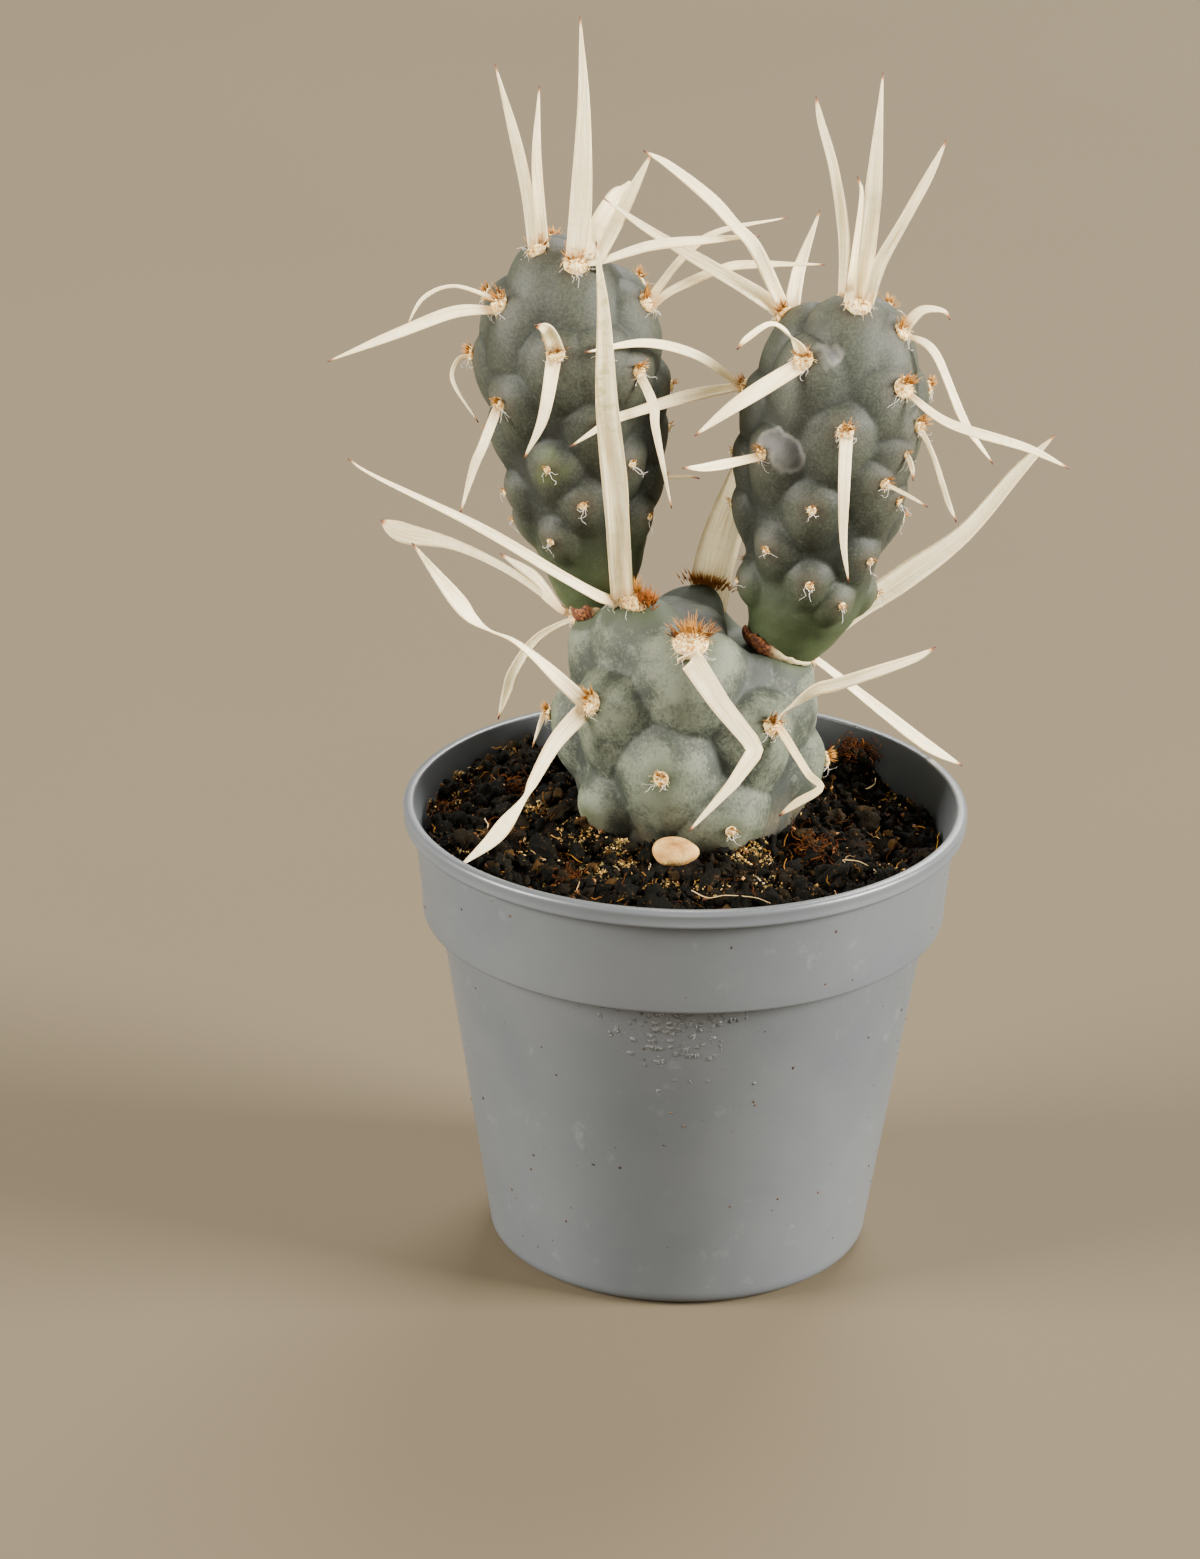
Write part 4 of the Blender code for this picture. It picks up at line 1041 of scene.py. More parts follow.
# %% Spine rows for the left joint
SPINES["left"] = [
    spine("crown", [(-0.1, 0, 0.2, 2.2), (0.5, 0, 6.9, 2.5), (0.7, 0.3, 18.3, 1.4),
          (0.2, 1, 28.3, 0.1)]),
    spine("crown", [(2.5, 0, 0.5, 1.6), (5.8, 2, 7, 1.6), (8.4, 3, 12.2, 0.1)], [FRONT_LEFT]),
    spine("crown", [(1.4, 0, 1, 1.3), (2.1, 1.9, 3.1, 2.1), (4.4, 4.8, 6.0, 2.6),
          (5.5, 5.6, 6.9, 1.7), (6.2, 6, 7.8, 0.8)]),
    spine("crown", [(0, 0, -0.1, 0.6), (2.7, -0.3, 0.4, 0.8), (8.3, -0.7, 2.4, 1.2),
          (13.9, -0.3, 3, 1.1), (20.7, 1.9, 3, 0.1)], [FRONT_UP]),
    spine("crown_left", [(-0.3, 0, -0.3, 1.2), (-1.1, -0.5, 6.5, 1.3), (-2.5, -1, 13.2, 1.2),
          (-4.8, -1, 21.7, 0.1)]),
    spine("crown_left", [(0.7, 0, 0.4, 1.4), (-0.1, 1.1, 10.1, 1.1), (0.1, 2, 18.5, 0.1)]),
    spine("high_left", [(-0.7, 0, -0.8, 1), (-5, -1.4, -0.6, 1.4), (-10.9, -2.9, -2.5, 1.3),
          (-19.3, -4, -5.8, 0.1)], [FRONT_UP]),
    spine("high_left", [(-0.6, 0, 0.6, 0.6), (-5.1, 0.4, 1.9, 0.4), (-8.6, 1.3, 0.2, 0.5),
          (-10.6, 2, -3.5, 0.1)], [FRONT_UP]),
    spine("front_high", [(0.1, 0, 0.2, 2), (-0.9, -2.9, 3.7, 1.6), (-2.3, -4.6, 4.8, 0.2)]),
    spine("front_high", [(-0.2, 0, -0.7, 1.7), (-1.3, -4.1, -6.2, 1.2), (-3.4, -5, -10.8, 0.1)]),
    spine("high_right", [(0.3, 0, 0.4, 1), (6.6, 2.7, 6.9, 0.8), (16, 4, 9.1, 0.1)], [FRONT_UP]),
    spine("high_right", [(0.8, 0, -0.3, 0.9), (2.9, 0.6, 1.3, 1), (8.3, 1.9, 3.4, 1.1),
          (11.7, 2.4, 3.9, 1), (20.3, 1.6, 4.3, 0.1)], [FRONT_UP]),
    spine("front_right", [(0, 0, -0.3, 1), (1.7, -2.3, -3.3, 1.1), (2, -3.6, -5.8, 0.9),
          (3.9, -5, -14.6, 0.1)]),
    spine("left_high", [(-0.5, 0, -0.3, 0.5), (-1.7, -0.4, -0.8, 0.5), (-2.1, -1.1, -3.1, 0.5),
          (0.8, -2.4, -7.5, 0.1)]),
    spine("front_left", [(-0.2, 0, -0.4, 1.1), (-1.8, -3.3, -3.8, 1.1), (-2.8, -4.2, -6.1, 1),
          (-4.3, -5, -11.4, 0.1)]),
    spine("right_needle", [(0, 0, 0, 0.4), (2.7, -1, 0.5, 0.35), (4, -1.4, 0.4, 0.1)]),
]

# %% Spine rows for the right joint
SPINES["right"] = [
    spine("crown", [(0.3, 0, 0.3, 1.9), (1.1, -1.5, 11.5, 1.9), (1.3, -2, 15.7, 1.7),
          (1.9, -1, 27.2, 0.1)]),
    spine("crown", [(-1.9, 0, 1.7, 0.8), (-1.8, -0.4, 7.7, 1.3), (-3.1, -0.9, 15.6, 1.1),
          (-4.8, -0.3, 21.4, 0.8), (-5.4, 0, 24.1, 0.1)]),
    spine("crown", [(1.1, 0, 0.6, 1.5), (2.2, -1.5, 5.3, 1.5), (4.8, -3, 11.1, 1.2),
          (7.3, -3, 16.1, 1), (9.1, -3, 20.2, 0.1)]),
    spine("crown", [(-1, 0, 1, 1.1), (0.1, 2.5, 11.5, 0.5), (-0.4, 3, 14.1, 0.1)]),
    spine("high_left", [(-0.3, 0, 1.4, 1.5), (-3.4, -2.7, 8.5, 1.6), (-5.8, -4, 11.6, 1.4),
          (-8.6, -4.8, 14.9, 1.5), (-13.4, -5.9, 19.1, 0.9), (-16.3, -6.4, 20.9, 0.1)],
          [FRONT_UP]),
    spine("high_left", [(-1.3, 0, 0.9, 1.5), (-3.6, -0.5, 2.8, 1.9), (-14.7, -2.7, 10.1, 1.1),
          (-20.6, -4, 14.6, 0.1)], [FRONT_UP]),
    spine("high_left", [(1, 0, 1, 1.7), (1.4, 1.7, 3.6, 1.6), (2, 3.1, 5.5, 1.3),
          (4, 4, 11.3, 0.1)]),
    spine("front_high", [(-0.2, 0, 0.6, 1.6), (-1.3, -1.8, 3.1, 1.5), (-3.8, -4.2, 5.5, 0.8),
          (-6.5, -7.2, 4.8, 0.7), (-7.7, -8, 3.7, 0.1)], [ABOVE, FRONT_UP]),
    spine("front_high", [(-0.4, 0, -0.7, 1.9), (-7.1, -5.1, -3.4, 1.7), (-12.2, -7, -6.8, 0.1)],
          [FRONT_UP]),
    spine("high_right", [(0.1, 0, 0.3, 1.4), (2.1, 0, 2.5, 1.1), (4.5, -0.6, 2.7, 0.5),
          (5.3, -1, 1.8, 0.1)], [FRONT_UP]),
    spine("high_right", [(0.3, 0, -0.5, 0.5), (3.6, -1, -2, 1), (7.2, -1.7, -9.9, 1),
          (10.7, -2, -14.9, 0.1)], [FRONT_RIGHT]),
    spine("right_front", [(0.9, 0, -1, 0.7), (5.3, -2.8, -3.3, 1.1), (13.7, -4.8, -5.3, 1),
          (18.6, -6, -7.3, 0.1)], [FRONT_UP]),
    spine("right_edge", [(0.2, 0, -0.6, 0.6), (1.8, -0.9, -3.6, 0.6), (3.4, -1, -8.4, 0.7),
          (4.6, -1, -11.2, 0.1)]),
    spine("left_edge", [(-0.6, 0, 0.4, 1), (-5.5, -2.4, 4.5, 1.1), (-11.4, -6.2, 7.1, 1.1),
          (-18.2, -11, 7.5, 0.1)], [FRONT_UP]),
    spine("left_edge", [(-0.6, 0, 0, 1), (-6.4, -3.3, -0.1, 1.5), (-12.4, -7.1, -0.8, 1.2),
          (-15.2, -9.3, -1.2, 1), (-19.7, -11.2, -3.6, 0.1)], [FRONT_UP]),
    spine("centre", [(0.1, 0, -0.3, 1.5), (-0.1, -3.2, -5.8, 1.3), (0, -3.8, -11.7, 0.8),
          (0.7, -4, -16.5, 0.1)]),
    spine("front_left", [(-0.2, 0, -0.4, 1), (-5.9, -4.9, 0, 1.1), (-9, -7, 0.6, 0.1)],
          [FRONT_UP]),
    spine("bristle", [(0, 0, 0, 0.45), (2.4, -2, -0.6, 0.45), (4.8, -3, -1.7, 0.1)]),
    spine("peg", [(0, 0, 0, 0.6), (0.6, -1, -1.2, 0.6), (0.8, -1.6, -2.6, 0.1)]),
]

# %% Spines on the unseen back
BACK_SPINE_LENGTH = (11.0, 19.0)
BACK_SPINE_WIDTH = (1.2, 1.9)
BACK_SPINES_FROM = math.radians(130)
BACK_SEED = 11
LOW_SHARE = 0.45
HIGH_SHARE = 0.7


def back_spines(form, names, draw):
    """One spine on every second areole of the back; the highest hang down behind the joint."""
    rows = []
    for name in names[::2]:
        areole = form.areoles[name]
        if areole.share < LOW_SHARE or abs(areole.azimuth) < BACK_SPINES_FROM:
            continue
        length = draw.uniform(*BACK_SPINE_LENGTH)
        rise = draw.uniform(-0.7, 0.9)
        drift = draw.uniform(-0.3, 0.3)
        if areole.share > HIGH_SHARE:
            rise = -0.9
            drift = math.tan(math.pi - abs(areole.azimuth)) * math.copysign(0.8, areole.azimuth)
        way = unit(areole.normal + areole.across * drift + form.axis * rise)
        bow = way if areole.share > HIGH_SHARE else unit(areole.normal + way)
        middle = bow * length * 0.45
        tip = way * length - form.axis * length * 0.12
        face = unit(np.cross(way, np.cross(form.axis, way)))
        width = draw.uniform(*BACK_SPINE_WIDTH)
        rows.append(spine(name, [(0, 0, 0, 0.8 * width), (*middle, width), (*tip, 0.1)], [face]))
    return rows


for name, rows in (("base", BASE_AREOLES), ("left", LEFT_AREOLES), ("right", RIGHT_AREOLES)):
    form = JOINTS[name]
    behind = [key for key in form.areoles if key.startswith("back_") and key != "back_high"]
    SPINES[name] += back_spines(form, behind, random.Random(BACK_SEED + len(rows)))
    print(f"{name}: {len(SPINES[name])} papery spines")

# %% [markdown]
# The strip follows its row's places and widths. A row whose last width is large gives a
# spine with a blunt, torn end, and such a spine has no brown needle. The strip counts its
# length from the root and from the tip, which is where the material puts rust and needle.

# %% Spine strips
SPINE_THICKNESS = 0.24
NEEDLE = 0.08
ROOT_DEPTH = 0.9
ACROSS = 7
BLUNT = 0.5
FAR_FROM_TIP = 9.0


def spine_line(row, place, normal):
    """Places along a spine, closer than a millimetre, half its width at each, and its length."""
    path = row.places + np.append(place, 0)
    root = path[0] - np.append(normal * ROOT_DEPTH, 0)
    path = np.vstack([root, path])
    line = path if row.creased else curve_through(path, 14)
    length = np.linalg.norm(np.diff(line[:, :3], axis=0), axis=1).sum()
    line = evenly(line, int(20 + length * 1.1))
    return line[:, :3], np.maximum(line[:, 3:] / 2, NEEDLE), length


def spine_frame(line, faces):
    """The directions across a strip and out of its face, all along it."""
    tangents = unit(np.gradient(line, axis=0))
    looks = np.array([unit(face) for face in faces])
    share = np.linspace(0, 1, len(line))
    stops = np.linspace(0, 1, len(looks))
    look = np.stack([np.interp(share, stops, looks[:, k]) for k in range(3)], axis=1)
    across = unit(np.cross(tangents, look))
    return across, np.cross(across, tangents)


def add_spine(bunch, row, place, normal, draw):
    """One papery ribbon with a channel, a curl and a needle tip."""
    line, half, length = spine_line(row, place, normal)
    across, face = spine_frame(line, row.faces)
    share = np.linspace(0, 1, len(line))[:, None]
    channel = draw.uniform(0.16, 0.34) * half
    wave = 0.10 * half * np.sin(share * draw.uniform(9, 16) + draw.uniform(0, 6))
    thick = np.minimum(SPINE_THICKNESS, half * 1.6)
    upper, lower = [], []
    for u in np.linspace(-1, 1, ACROSS):
        middle = line + across * half * u + face * (channel * (u * u - 0.4) + wave * u)
        lift = face * thick * (0.5 - 0.28 * u * u)
        upper.append((middle + lift, u))
        lower.append((middle - lift, u))
    loop = upper + lower[::-1]
    vertices = np.stack([points for points, _ in loop], axis=1).reshape(-1, 3)
    sides = np.tile([u for _, u in loop], len(line))
    run = np.repeat(share.ravel() * length, len(loop))
    blunt = row.places[-1, 3] > BLUNT
    bunch.add(
        vertices, tube_faces(len(line), len(loop)), edge=np.abs(sides), run=run,
        side=sides * np.repeat(half.ravel(), len(loop)), to_tip=length - run + FAR_FROM_TIP * blunt,
        seed=draw.uniform(0, 40), green=row.green, tan=row.tan,
        rust=draw.uniform(0.2, 1.0) * (not blunt))


def make_spines(name, form, finish):
    """All papery spines of one joint."""
    bunch = Bunch()
    draw = random.Random(name + "spine")
    for row in SPINES[name]:
        place, normal = seat(form, row.areole)
        add_spine(bunch, row, place, normal, draw)
    return bunch.finish(f"{name}_spines", finish)


# %% Paper finish
def paper():
    """Ivory paper with lengthwise fibres, a rusty root and a dark needle point."""
    finish = Finish("spine_paper", Roughness=0.62, Subsurface_Weight=0.22, Subsurface_Scale=0.001,
                    Subsurface_Radius=(1.0, 0.92, 0.78))
    run, side, seed = finish.read("run"), finish.read("side"), finish.read("seed")
    strands = finish.join(finish.times(side, 5.5), finish.times(run, 0.16), seed)
    fibre = finish.noise(1.0, 4, 0.65, strands)
    bands = finish.noise(1.0, 2, vector=finish.join(finish.times(side, 0.25), run, seed))
    colour = finish.ramp(finish.span(fibre, 0.28, 0.72), (0.0, (222, 186, 128)),
                         (0.55, (253, 233, 184)), (1.0, (255, 246, 204)))
    colour = finish.tint(
        colour, (finish.span(bands, 0.52, 0.78), 0.7, (228, 208, 158)),
        (finish.read("edge", 0.7, 1.0), 0.45, (206, 160, 92)))
    colour = finish.mix(finish.read("tan"), colour, (206, 172, 106))
    spots = finish.span(finish.noise(620, 4), 0.50, 0.62)
    stain = finish.times(spots, finish.span(run, 20.0, 30.0))
    colour = finish.mix(finish.times(finish.read("green"), stain), colour, (172, 166, 92))
    root = finish.times(finish.span(run, 3.2, 0.6), finish.read("rust"))
    colour = finish.tint(colour, (root, 0.6, (196, 124, 60)))
    colour = finish.mix(finish.read("to_tip", 1.2, 0.6), colour, (176, 112, 54))
    colour = finish.mix(finish.read("to_tip", 0.7, 0.3), colour, (60, 28, 12))
    return finish.done(Base_Color=colour, Normal=finish.bump(fibre, 0.10))


paper_finish = paper()
for name, form in JOINTS.items():
    make_spines(name, form, paper_finish)

# %% [markdown]
# ## Neck scars
#
# Where a joint grew out of the one below, its areole has dried to a ring of brown, bark-like
# fibre. It is a ragged band of short upright ridges round the neck: rust brown on the side
# that shows, and cream at its ends.

# %% Neck scars
SCAR_COLUMNS = 160
SCAR_ROWS = 9
SCAR_RIDGES = 46


def make_scar(name, form, finish, tall, proud, rust_from, rust_to):
    """A ragged band round the foot of an upper joint, rusty between two angles."""
    turn = turns(SCAR_COLUMNS)
    foot, normal, up, _ = core(form, np.full(SCAR_COLUMNS, 0.004), turn)
    degrees = (np.degrees(turn) + 180) % 360 - 180
    rust = smooth_step((degrees - rust_from) / 25) * smooth_step((rust_to - degrees) / 25)
    ragged = 1 + 0.35 * ripple(foot, 1.3, 3) + 0.25 * ripple(foot, 0.5, 4)
    reach = (0.55 + 0.75 * rust) * ragged
    ridges = 0.16 * np.abs(np.sin(turn * SCAR_RIDGES + 2 * ripple(foot, 1.0, 8))) * (0.4 + rust)
    rings = []
    for lean in np.linspace(-100, 100, SCAR_ROWS):
        lift, out = math.sin(math.radians(lean)), math.cos(math.radians(lean))
        depth = (proud * (0.5 + 0.5 * rust) + ridges) * out - 0.15
        rings.append(foot + normal * depth[:, None] + up * (tall * lift * reach)[:, None])
    faces = []
    for ring in range(SCAR_ROWS):
        start, over = ring * SCAR_COLUMNS, (ring + 1) % SCAR_ROWS * SCAR_COLUMNS
        for k in range(SCAR_COLUMNS):
            after = (k + 1) % SCAR_COLUMNS
            faces.append((start + k, start + after, over + after, over + k))
    values = {"rust": np.tile(rust, SCAR_ROWS)}
    return make_piece(name, np.concatenate(rings), faces, finish, values)


def scar_bark():
    """Dry bark: red-brown fibres that fade to cream."""
    finish = Finish("neck_scar_bark", Roughness=0.85)
    streaks = finish.noise(2600, 4)
    bark = finish.ramp(finish.span(streaks, 0.32, 0.68), (0.0, (44, 18, 6)), (0.5, (92, 44, 14)),
                       (1.0, (150, 96, 42)))
    pale = finish.mix(streaks, (186, 166, 112), (226, 208, 166))
    return finish.done(
        Base_Color=finish.mix(finish.read("rust"), pale, bark), Normal=finish.bump(streaks, 0.15))


bark_finish = scar_bark()
for name, *shape in (("left", 0.95, 0.6, -72, 5), ("right", 0.85, 0.5, -100, 4)):
    scar = make_scar(f"{name}_neck_scar", JOINTS[name], bark_finish, *shape)

# %% [markdown]
# ## Nursery pot
#
# The pot is thin grey plastic, moulded in one: a rolled lip, a collar that stands out a
# little from the tapered wall, and a flat floor with drain holes. It is a turned shape, so
# it is made by sweeping one section round the axis with many sides, with a small radius on
# each edge. The holes are cut last, by a Boolean that is applied at once.

# %% Pot section
LIP_DEPTH = 2.1
LIP_WIDTH = 1.25
COLLAR_TOP_RADIUS = RIM_RADIUS - 1.3
COLLAR_FOOT_RADIUS = RIM_RADIUS - 2.3
COLLAR_FOOT_HEIGHT = 40.6
WALL_TOP_RADIUS = 28.2
BASE_RADIUS = 22.2
WALL = 1.0
FLOOR = 1.4
POT_SIDES = 192


def arc(centre, radius, start, end, count=5):
    """Points on an arc of the section, in degrees."""
    angles = np.radians(np.linspace(start, end, count))
    return [(centre[0] + radius * math.cos(a), centre[1] + radius * math.sin(a)) for a in angles]


def pot_section():
    """The section as radius and height, from the underside up and down the inside."""
    lip_foot = POT_HEIGHT - LIP_DEPTH
    outside = arc((BASE_RADIUS - 1.6, 1.6), 1.6, -90, 4)
    outside += [(WALL_TOP_RADIUS - 0.05, COLLAR_FOOT_HEIGHT - 0.7),
                (WALL_TOP_RADIUS + 0.1, COLLAR_FOOT_HEIGHT - 0.25)]
    outside += arc((COLLAR_FOOT_RADIUS - 0.45, COLLAR_FOOT_HEIGHT + 0.45), 0.45, -90, 0)
    outside += [(COLLAR_FOOT_RADIUS + 0.12, COLLAR_FOOT_HEIGHT + 2.6),
                (COLLAR_TOP_RADIUS, lip_foot - 0.4)]
    outside += arc((RIM_RADIUS - 0.5, lip_foot + 0.35), 0.42, -90, 40)
    outside += arc((RIM_RADIUS - 0.52, POT_HEIGHT - 0.52), 0.52, -20, 90)
    inside = arc((RIM_RADIUS - LIP_WIDTH + 0.3, POT_HEIGHT - 0.3), 0.3, 90, 180)
    inside += [(COLLAR_TOP_RADIUS - 0.65, POT_HEIGHT - 2.6),
               (COLLAR_FOOT_RADIUS - WALL, COLLAR_FOOT_HEIGHT + 1.0),
               (WALL_TOP_RADIUS - WALL, COLLAR_FOOT_HEIGHT - 0.4),
               (BASE_RADIUS - WALL + 0.2, FLOOR + 1.0), (BASE_RADIUS - WALL - 0.9, FLOOR)]
    return outside + inside


def ring_points(radius, height, sides):
    """A level ring of points round the pot's axis."""
    x, y = radius * np.cos(turns(sides)), radius * np.sin(turns(sides))
    return np.stack([x, y, np.full(sides, height)], axis=1)


# %% Pot piece
DRAIN_HOLES = 6
DRAIN_CIRCLE_RADIUS = 14.0
DRAIN_HOLE_RADIUS = 2.4


def drain_holes(piece):
    """Cut the drain holes and keep the cut mesh."""
    for turn in turns(DRAIN_HOLES) + math.pi / DRAIN_HOLES:
        spot = DRAIN_CIRCLE_RADIUS * MM * np.array((math.cos(turn), math.sin(turn), 0))
        bpy.ops.mesh.primitive_cylinder_add(
            vertices=40, radius=DRAIN_HOLE_RADIUS * MM, depth=4 * FLOOR * MM, location=tuple(spot))
        cutter = bpy.context.object
        cut = piece.modifiers.new("drain", "BOOLEAN")
        cut.operation = "DIFFERENCE"
        cut.solver = "EXACT"
        cut.object = cutter
        bpy.context.view_layer.objects.active = piece
        bpy.ops.object.modifier_apply(modifier=cut.name)
        bpy.data.objects.remove(cutter)


def pot_plastic():
    """Satin grey plastic with a fine moulded grain and faint scuffs."""
    finish = Finish("pot_grey_plastic", IOR=1.5)
    clouds = finish.noise(45, 4)
    scuffs = finish.noise(240, 6, rough=0.7)
    colour = finish.mix(finish.span(clouds, 0.35, 0.65), (76, 80, 84), (84, 87, 90))
    colour = finish.tint(colour, (finish.span(scuffs, 0.60, 0.74), 0.45, (114, 116, 118)))
    rough = finish.math("ADD", 0.26, finish.times(scuffs, 0.2))
    bump = finish.bump(finish.noise(3000, 2), 0.012, finish.bump(clouds, 0.10))
    return finish.done(Base_Color=colour, Roughness=rough, Normal=bump)


pot_vertices = np.concatenate([ring_points(*point, POT_SIDES) for point in pot_section()])
pot_faces = tube_faces(len(pot_section()), POT_SIDES)
pot_vertices[:, :2] *= (1 + 0.0012 * ripple(pot_vertices, 30, 12))[:, None]
pot = make_piece("nursery_pot", pot_vertices, pot_faces, pot_plastic())
drain_holes(pot)
pot.data.set_sharp_from_angle(angle=math.radians(50))
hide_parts("pot")

# %% [markdown]
# Two small things make the plastic look used: specks of peat dust stuck to the wall, and a
# patch of clear droplets that hangs under the collar at the front. Both are tiny blobs
# pressed on the wall, at seeded random places.

# %% Specks and droplets
POINTS_BELOW_LIP = 17
SPECKS = 170
DROPLETS = 520
DROP_SPREAD = 3.4


def wall_point(azimuth, height):
    """A place on the outside of the pot, with the way out of it and the way along it."""
    section = np.array(pot_section()[:POINTS_BELOW_LIP])
    radius = np.interp(height, section[:, 1], section[:, 0])
    out = np.array((math.sin(azimuth), -math.cos(azimuth), 0.0))
    along = np.array((math.cos(azimuth), math.sin(azimuth), 0.0))
    return out * radius + np.array((0, 0, height)), out, along


def add_blob(bunch, place, out, along, radius, flat, draw, rings=4, sides=8):
    """A small rounded blob pressed flat on a surface."""
    stretch = draw.uniform(0.75, 1.3)
    ways = (out, along * stretch, np.cross(out, along) / stretch)
    sunk = place - out * 0.02
    vertices = dome_points(sunk, *ways, radius, flat, math.pi / 2, rings, sides)
    vertices.append(place + out * radius * flat)
    bunch.add(np.array(vertices), dome_faces(rings, sides), shade=draw.random())


speck_draw = random.Random(21)
specks = Bunch()
for _ in range(SPECKS):
    speck_height = speck_draw.uniform(4, 51)
    speck_place = wall_point(speck_draw.uniform(-math.pi, math.pi), speck_height)
    speck_radius = speck_draw.uniform(0.05, 0.22)
    add_blob(specks, *speck_place, speck_radius, 0.5, speck_draw, rings=2, sides=6)
droplets = Bunch()
for _ in range(DROPLETS):
    drop_height = COLLAR_FOOT_HEIGHT - 0.4 - abs(speck_draw.gauss(0, DROP_SPREAD))
    drop_place = wall_point(speck_draw.gauss(-0.01, 0.13), drop_height)
    add_blob(droplets, *drop_place, 0.07 + 0.34 * speck_draw.random() ** 4, 0.42, speck_draw)

# %% Speck and droplet finishes
peat_dust = two_tone("peat_dust", (24, 18, 14), (84, 60, 40), Roughness=0.9)
water = two_tone("water_drops", (172, 173, 172), (210, 211, 209), clouds=900,
                 Roughness=0.22, IOR=1.33, Transmission_Weight=0.9)
specks.finish("pot_specks", peat_dust)
droplets.finish("pot_droplets", water)

# %% [markdown]
# ## Peat
#
# The peat is black-brown and crumbly, higher at the left than at the right, with deep gaps
# between its clods. One displaced surface carries its large lumps. On it lie loose crumbs
# of many sizes, straw-coloured flakes and rust-brown fibres, which is what the eye takes
# for soil: no bump map gives their broken outline. Each heap has a middle, a radius and a
# height, and each kind of lump a height, a size and a seed.

# %% Peat surface
SOIL_LEVEL = 49.3
SOIL_FALL = 0.045
PEAT_SIDES = 260
SURFACE_EDGE = 29.8
SURFACE_RINGS = 100
WALL_GAP = 0.1
LUMPS = [(0.55, 7.0, 41), (0.70, 2.6, 42), (0.12, 0.6, 44)]
HEAPS = [
    ((20.5, 21.0), 4.2, 2.6), ((-27.6, 7.0), 2.8, 1.4), ((-19.0, 20.5), 4.0, 1.2),
    ((15.0, -4.4), 2.4, 0.8), ((-12.0, -0.5), 3.2, 1.7), ((-7.4, -5.6), 2.4, 1.3),
    ((8.5, -5.6), 3.0, 0.9), ((14.8, 1.0), 2.6, 0.6)]
PEBBLE_CENTRE = np.array((-1.1, -9.3, 51.5))
PEBBLE_RADII = np.array((2.6, 2.1, 1.6))
PEBBLE_CLEARANCE = 3.3
INSIDE_WALL = 30.1


def soil_height(x, y):
    """The height of the peat at each place."""
    flat = np.stack([x, y, np.zeros_like(x)], axis=1)
    level = SOIL_LEVEL - SOIL_FALL * x + 0.36 * np.abs(ripple(flat, 1.3, 43))
    for height, size, seed in LUMPS:
        level += height * ripple(flat, size, seed)
    for (middle_x, middle_y), radius, height in HEAPS:
        level += height * np.exp(-((x - middle_x) ** 2 + (y - middle_y) ** 2) / radius**2)
    under = np.hypot(x - PEBBLE_CENTRE[0], y - PEBBLE_CENTRE[1]) / (PEBBLE_RADII[0] + 0.6)
    bed = PEBBLE_CENTRE[2] - PEBBLE_RADII[2] + 0.35
    return level + (bed - level) * smooth_step(1.5 - under)


def peat_top(x, y):
    """The height of the peat at one place."""
    return soil_height(np.array([x]), np.array([y]))[0]


def peat_rings():
    """Rings up inside the pot, then over the surface to the middle."""
    rings = [ring_points(radius, height, PEAT_SIDES) for radius, height in (
        (BASE_RADIUS - WALL - 1.2, FLOOR + WALL_GAP),
        (WALL_TOP_RADIUS - WALL - 0.3, COLLAR_FOOT_HEIGHT - 1.0),
        (COLLAR_FOOT_RADIUS - WALL - 0.2, COLLAR_FOOT_HEIGHT + 1.6))]
    for radius in np.linspace(SURFACE_EDGE, 0.3, SURFACE_RINGS):
        ring = ring_points(radius, 0.0, PEAT_SIDES)
        ring[:, 2] = soil_height(ring[:, 0], ring[:, 1])
        rings.append(ring)
    return rings


peat_earth = flecked(
    "peat_earth", [(0.0, (5, 4, 3)), (0.6, (15, 12, 8)), (1.0, (34, 24, 13))], (1500, 3, 0.7),
    (0.62, 0.72, (96, 66, 32)), clouds=(420, 5), depth=0.5, Roughness=0.95, Specular_IOR_Level=0.08)
rings = peat_rings()
peat = make_piece("peat_bed", np.concatenate(rings), tube_faces(len(rings), PEAT_SIDES), peat_earth)
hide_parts("soil")

# %% [markdown]
# Clods, crumbs, grit, flakes and moss are all laid down by one function. It draws from
# eight rough stones and gives each bit its own size, turn and squash. Most kinds lie all
# over, clear of the stem and the pebble. The moss gathers in spots, each with its spread.

# %% Crumbs
MOSS_SPOTS = [
    (-19.2, 22.0, 1.3), (-27.0, 13.0, 1.0), (-27.6, 4.9, 1.2), (-12.3, -3.6, 1.2),
    (-6.8, -9.6, 0.9), (-11.6, -1.6, 1.3), (-7.6, -5.8, 0.9), (8.8, -5.4, 0.9),
    (6.4, -6.2, 1.0), (17.8, 11.0, 1.6), (-17.2, 6.0, 1.0), (21.8, 4.9, 1.2),
    (-24.7, -9.1, 1.4), (24.0, -7.4, 1.4), (1.6, -16.0, 1.3), (10.1, -13.3, 1.2),
    (-14.3, -13.6, 1.4), (25.0, 14.0, 1.6), (-16.5, -7.0, 1.8), (-9.5, -12.5, 1.7),
    (-3.0, -15.5, 1.5)]
STONES = 8
STEM_CLEARANCE = 14.2
PEAT_EDGE = 29.6


def ball(cuts, radius):
    """The vertices and faces of an icosphere."""
    body = bmesh.new()
    bmesh.ops.create_icosphere(body, subdivisions=cuts, radius=radius)
    points = np.array([vertex.co for vertex in body.verts])
    faces = [tuple(vertex.index for vertex in face.verts) for face in body.faces]
    body.free()
    return points, faces


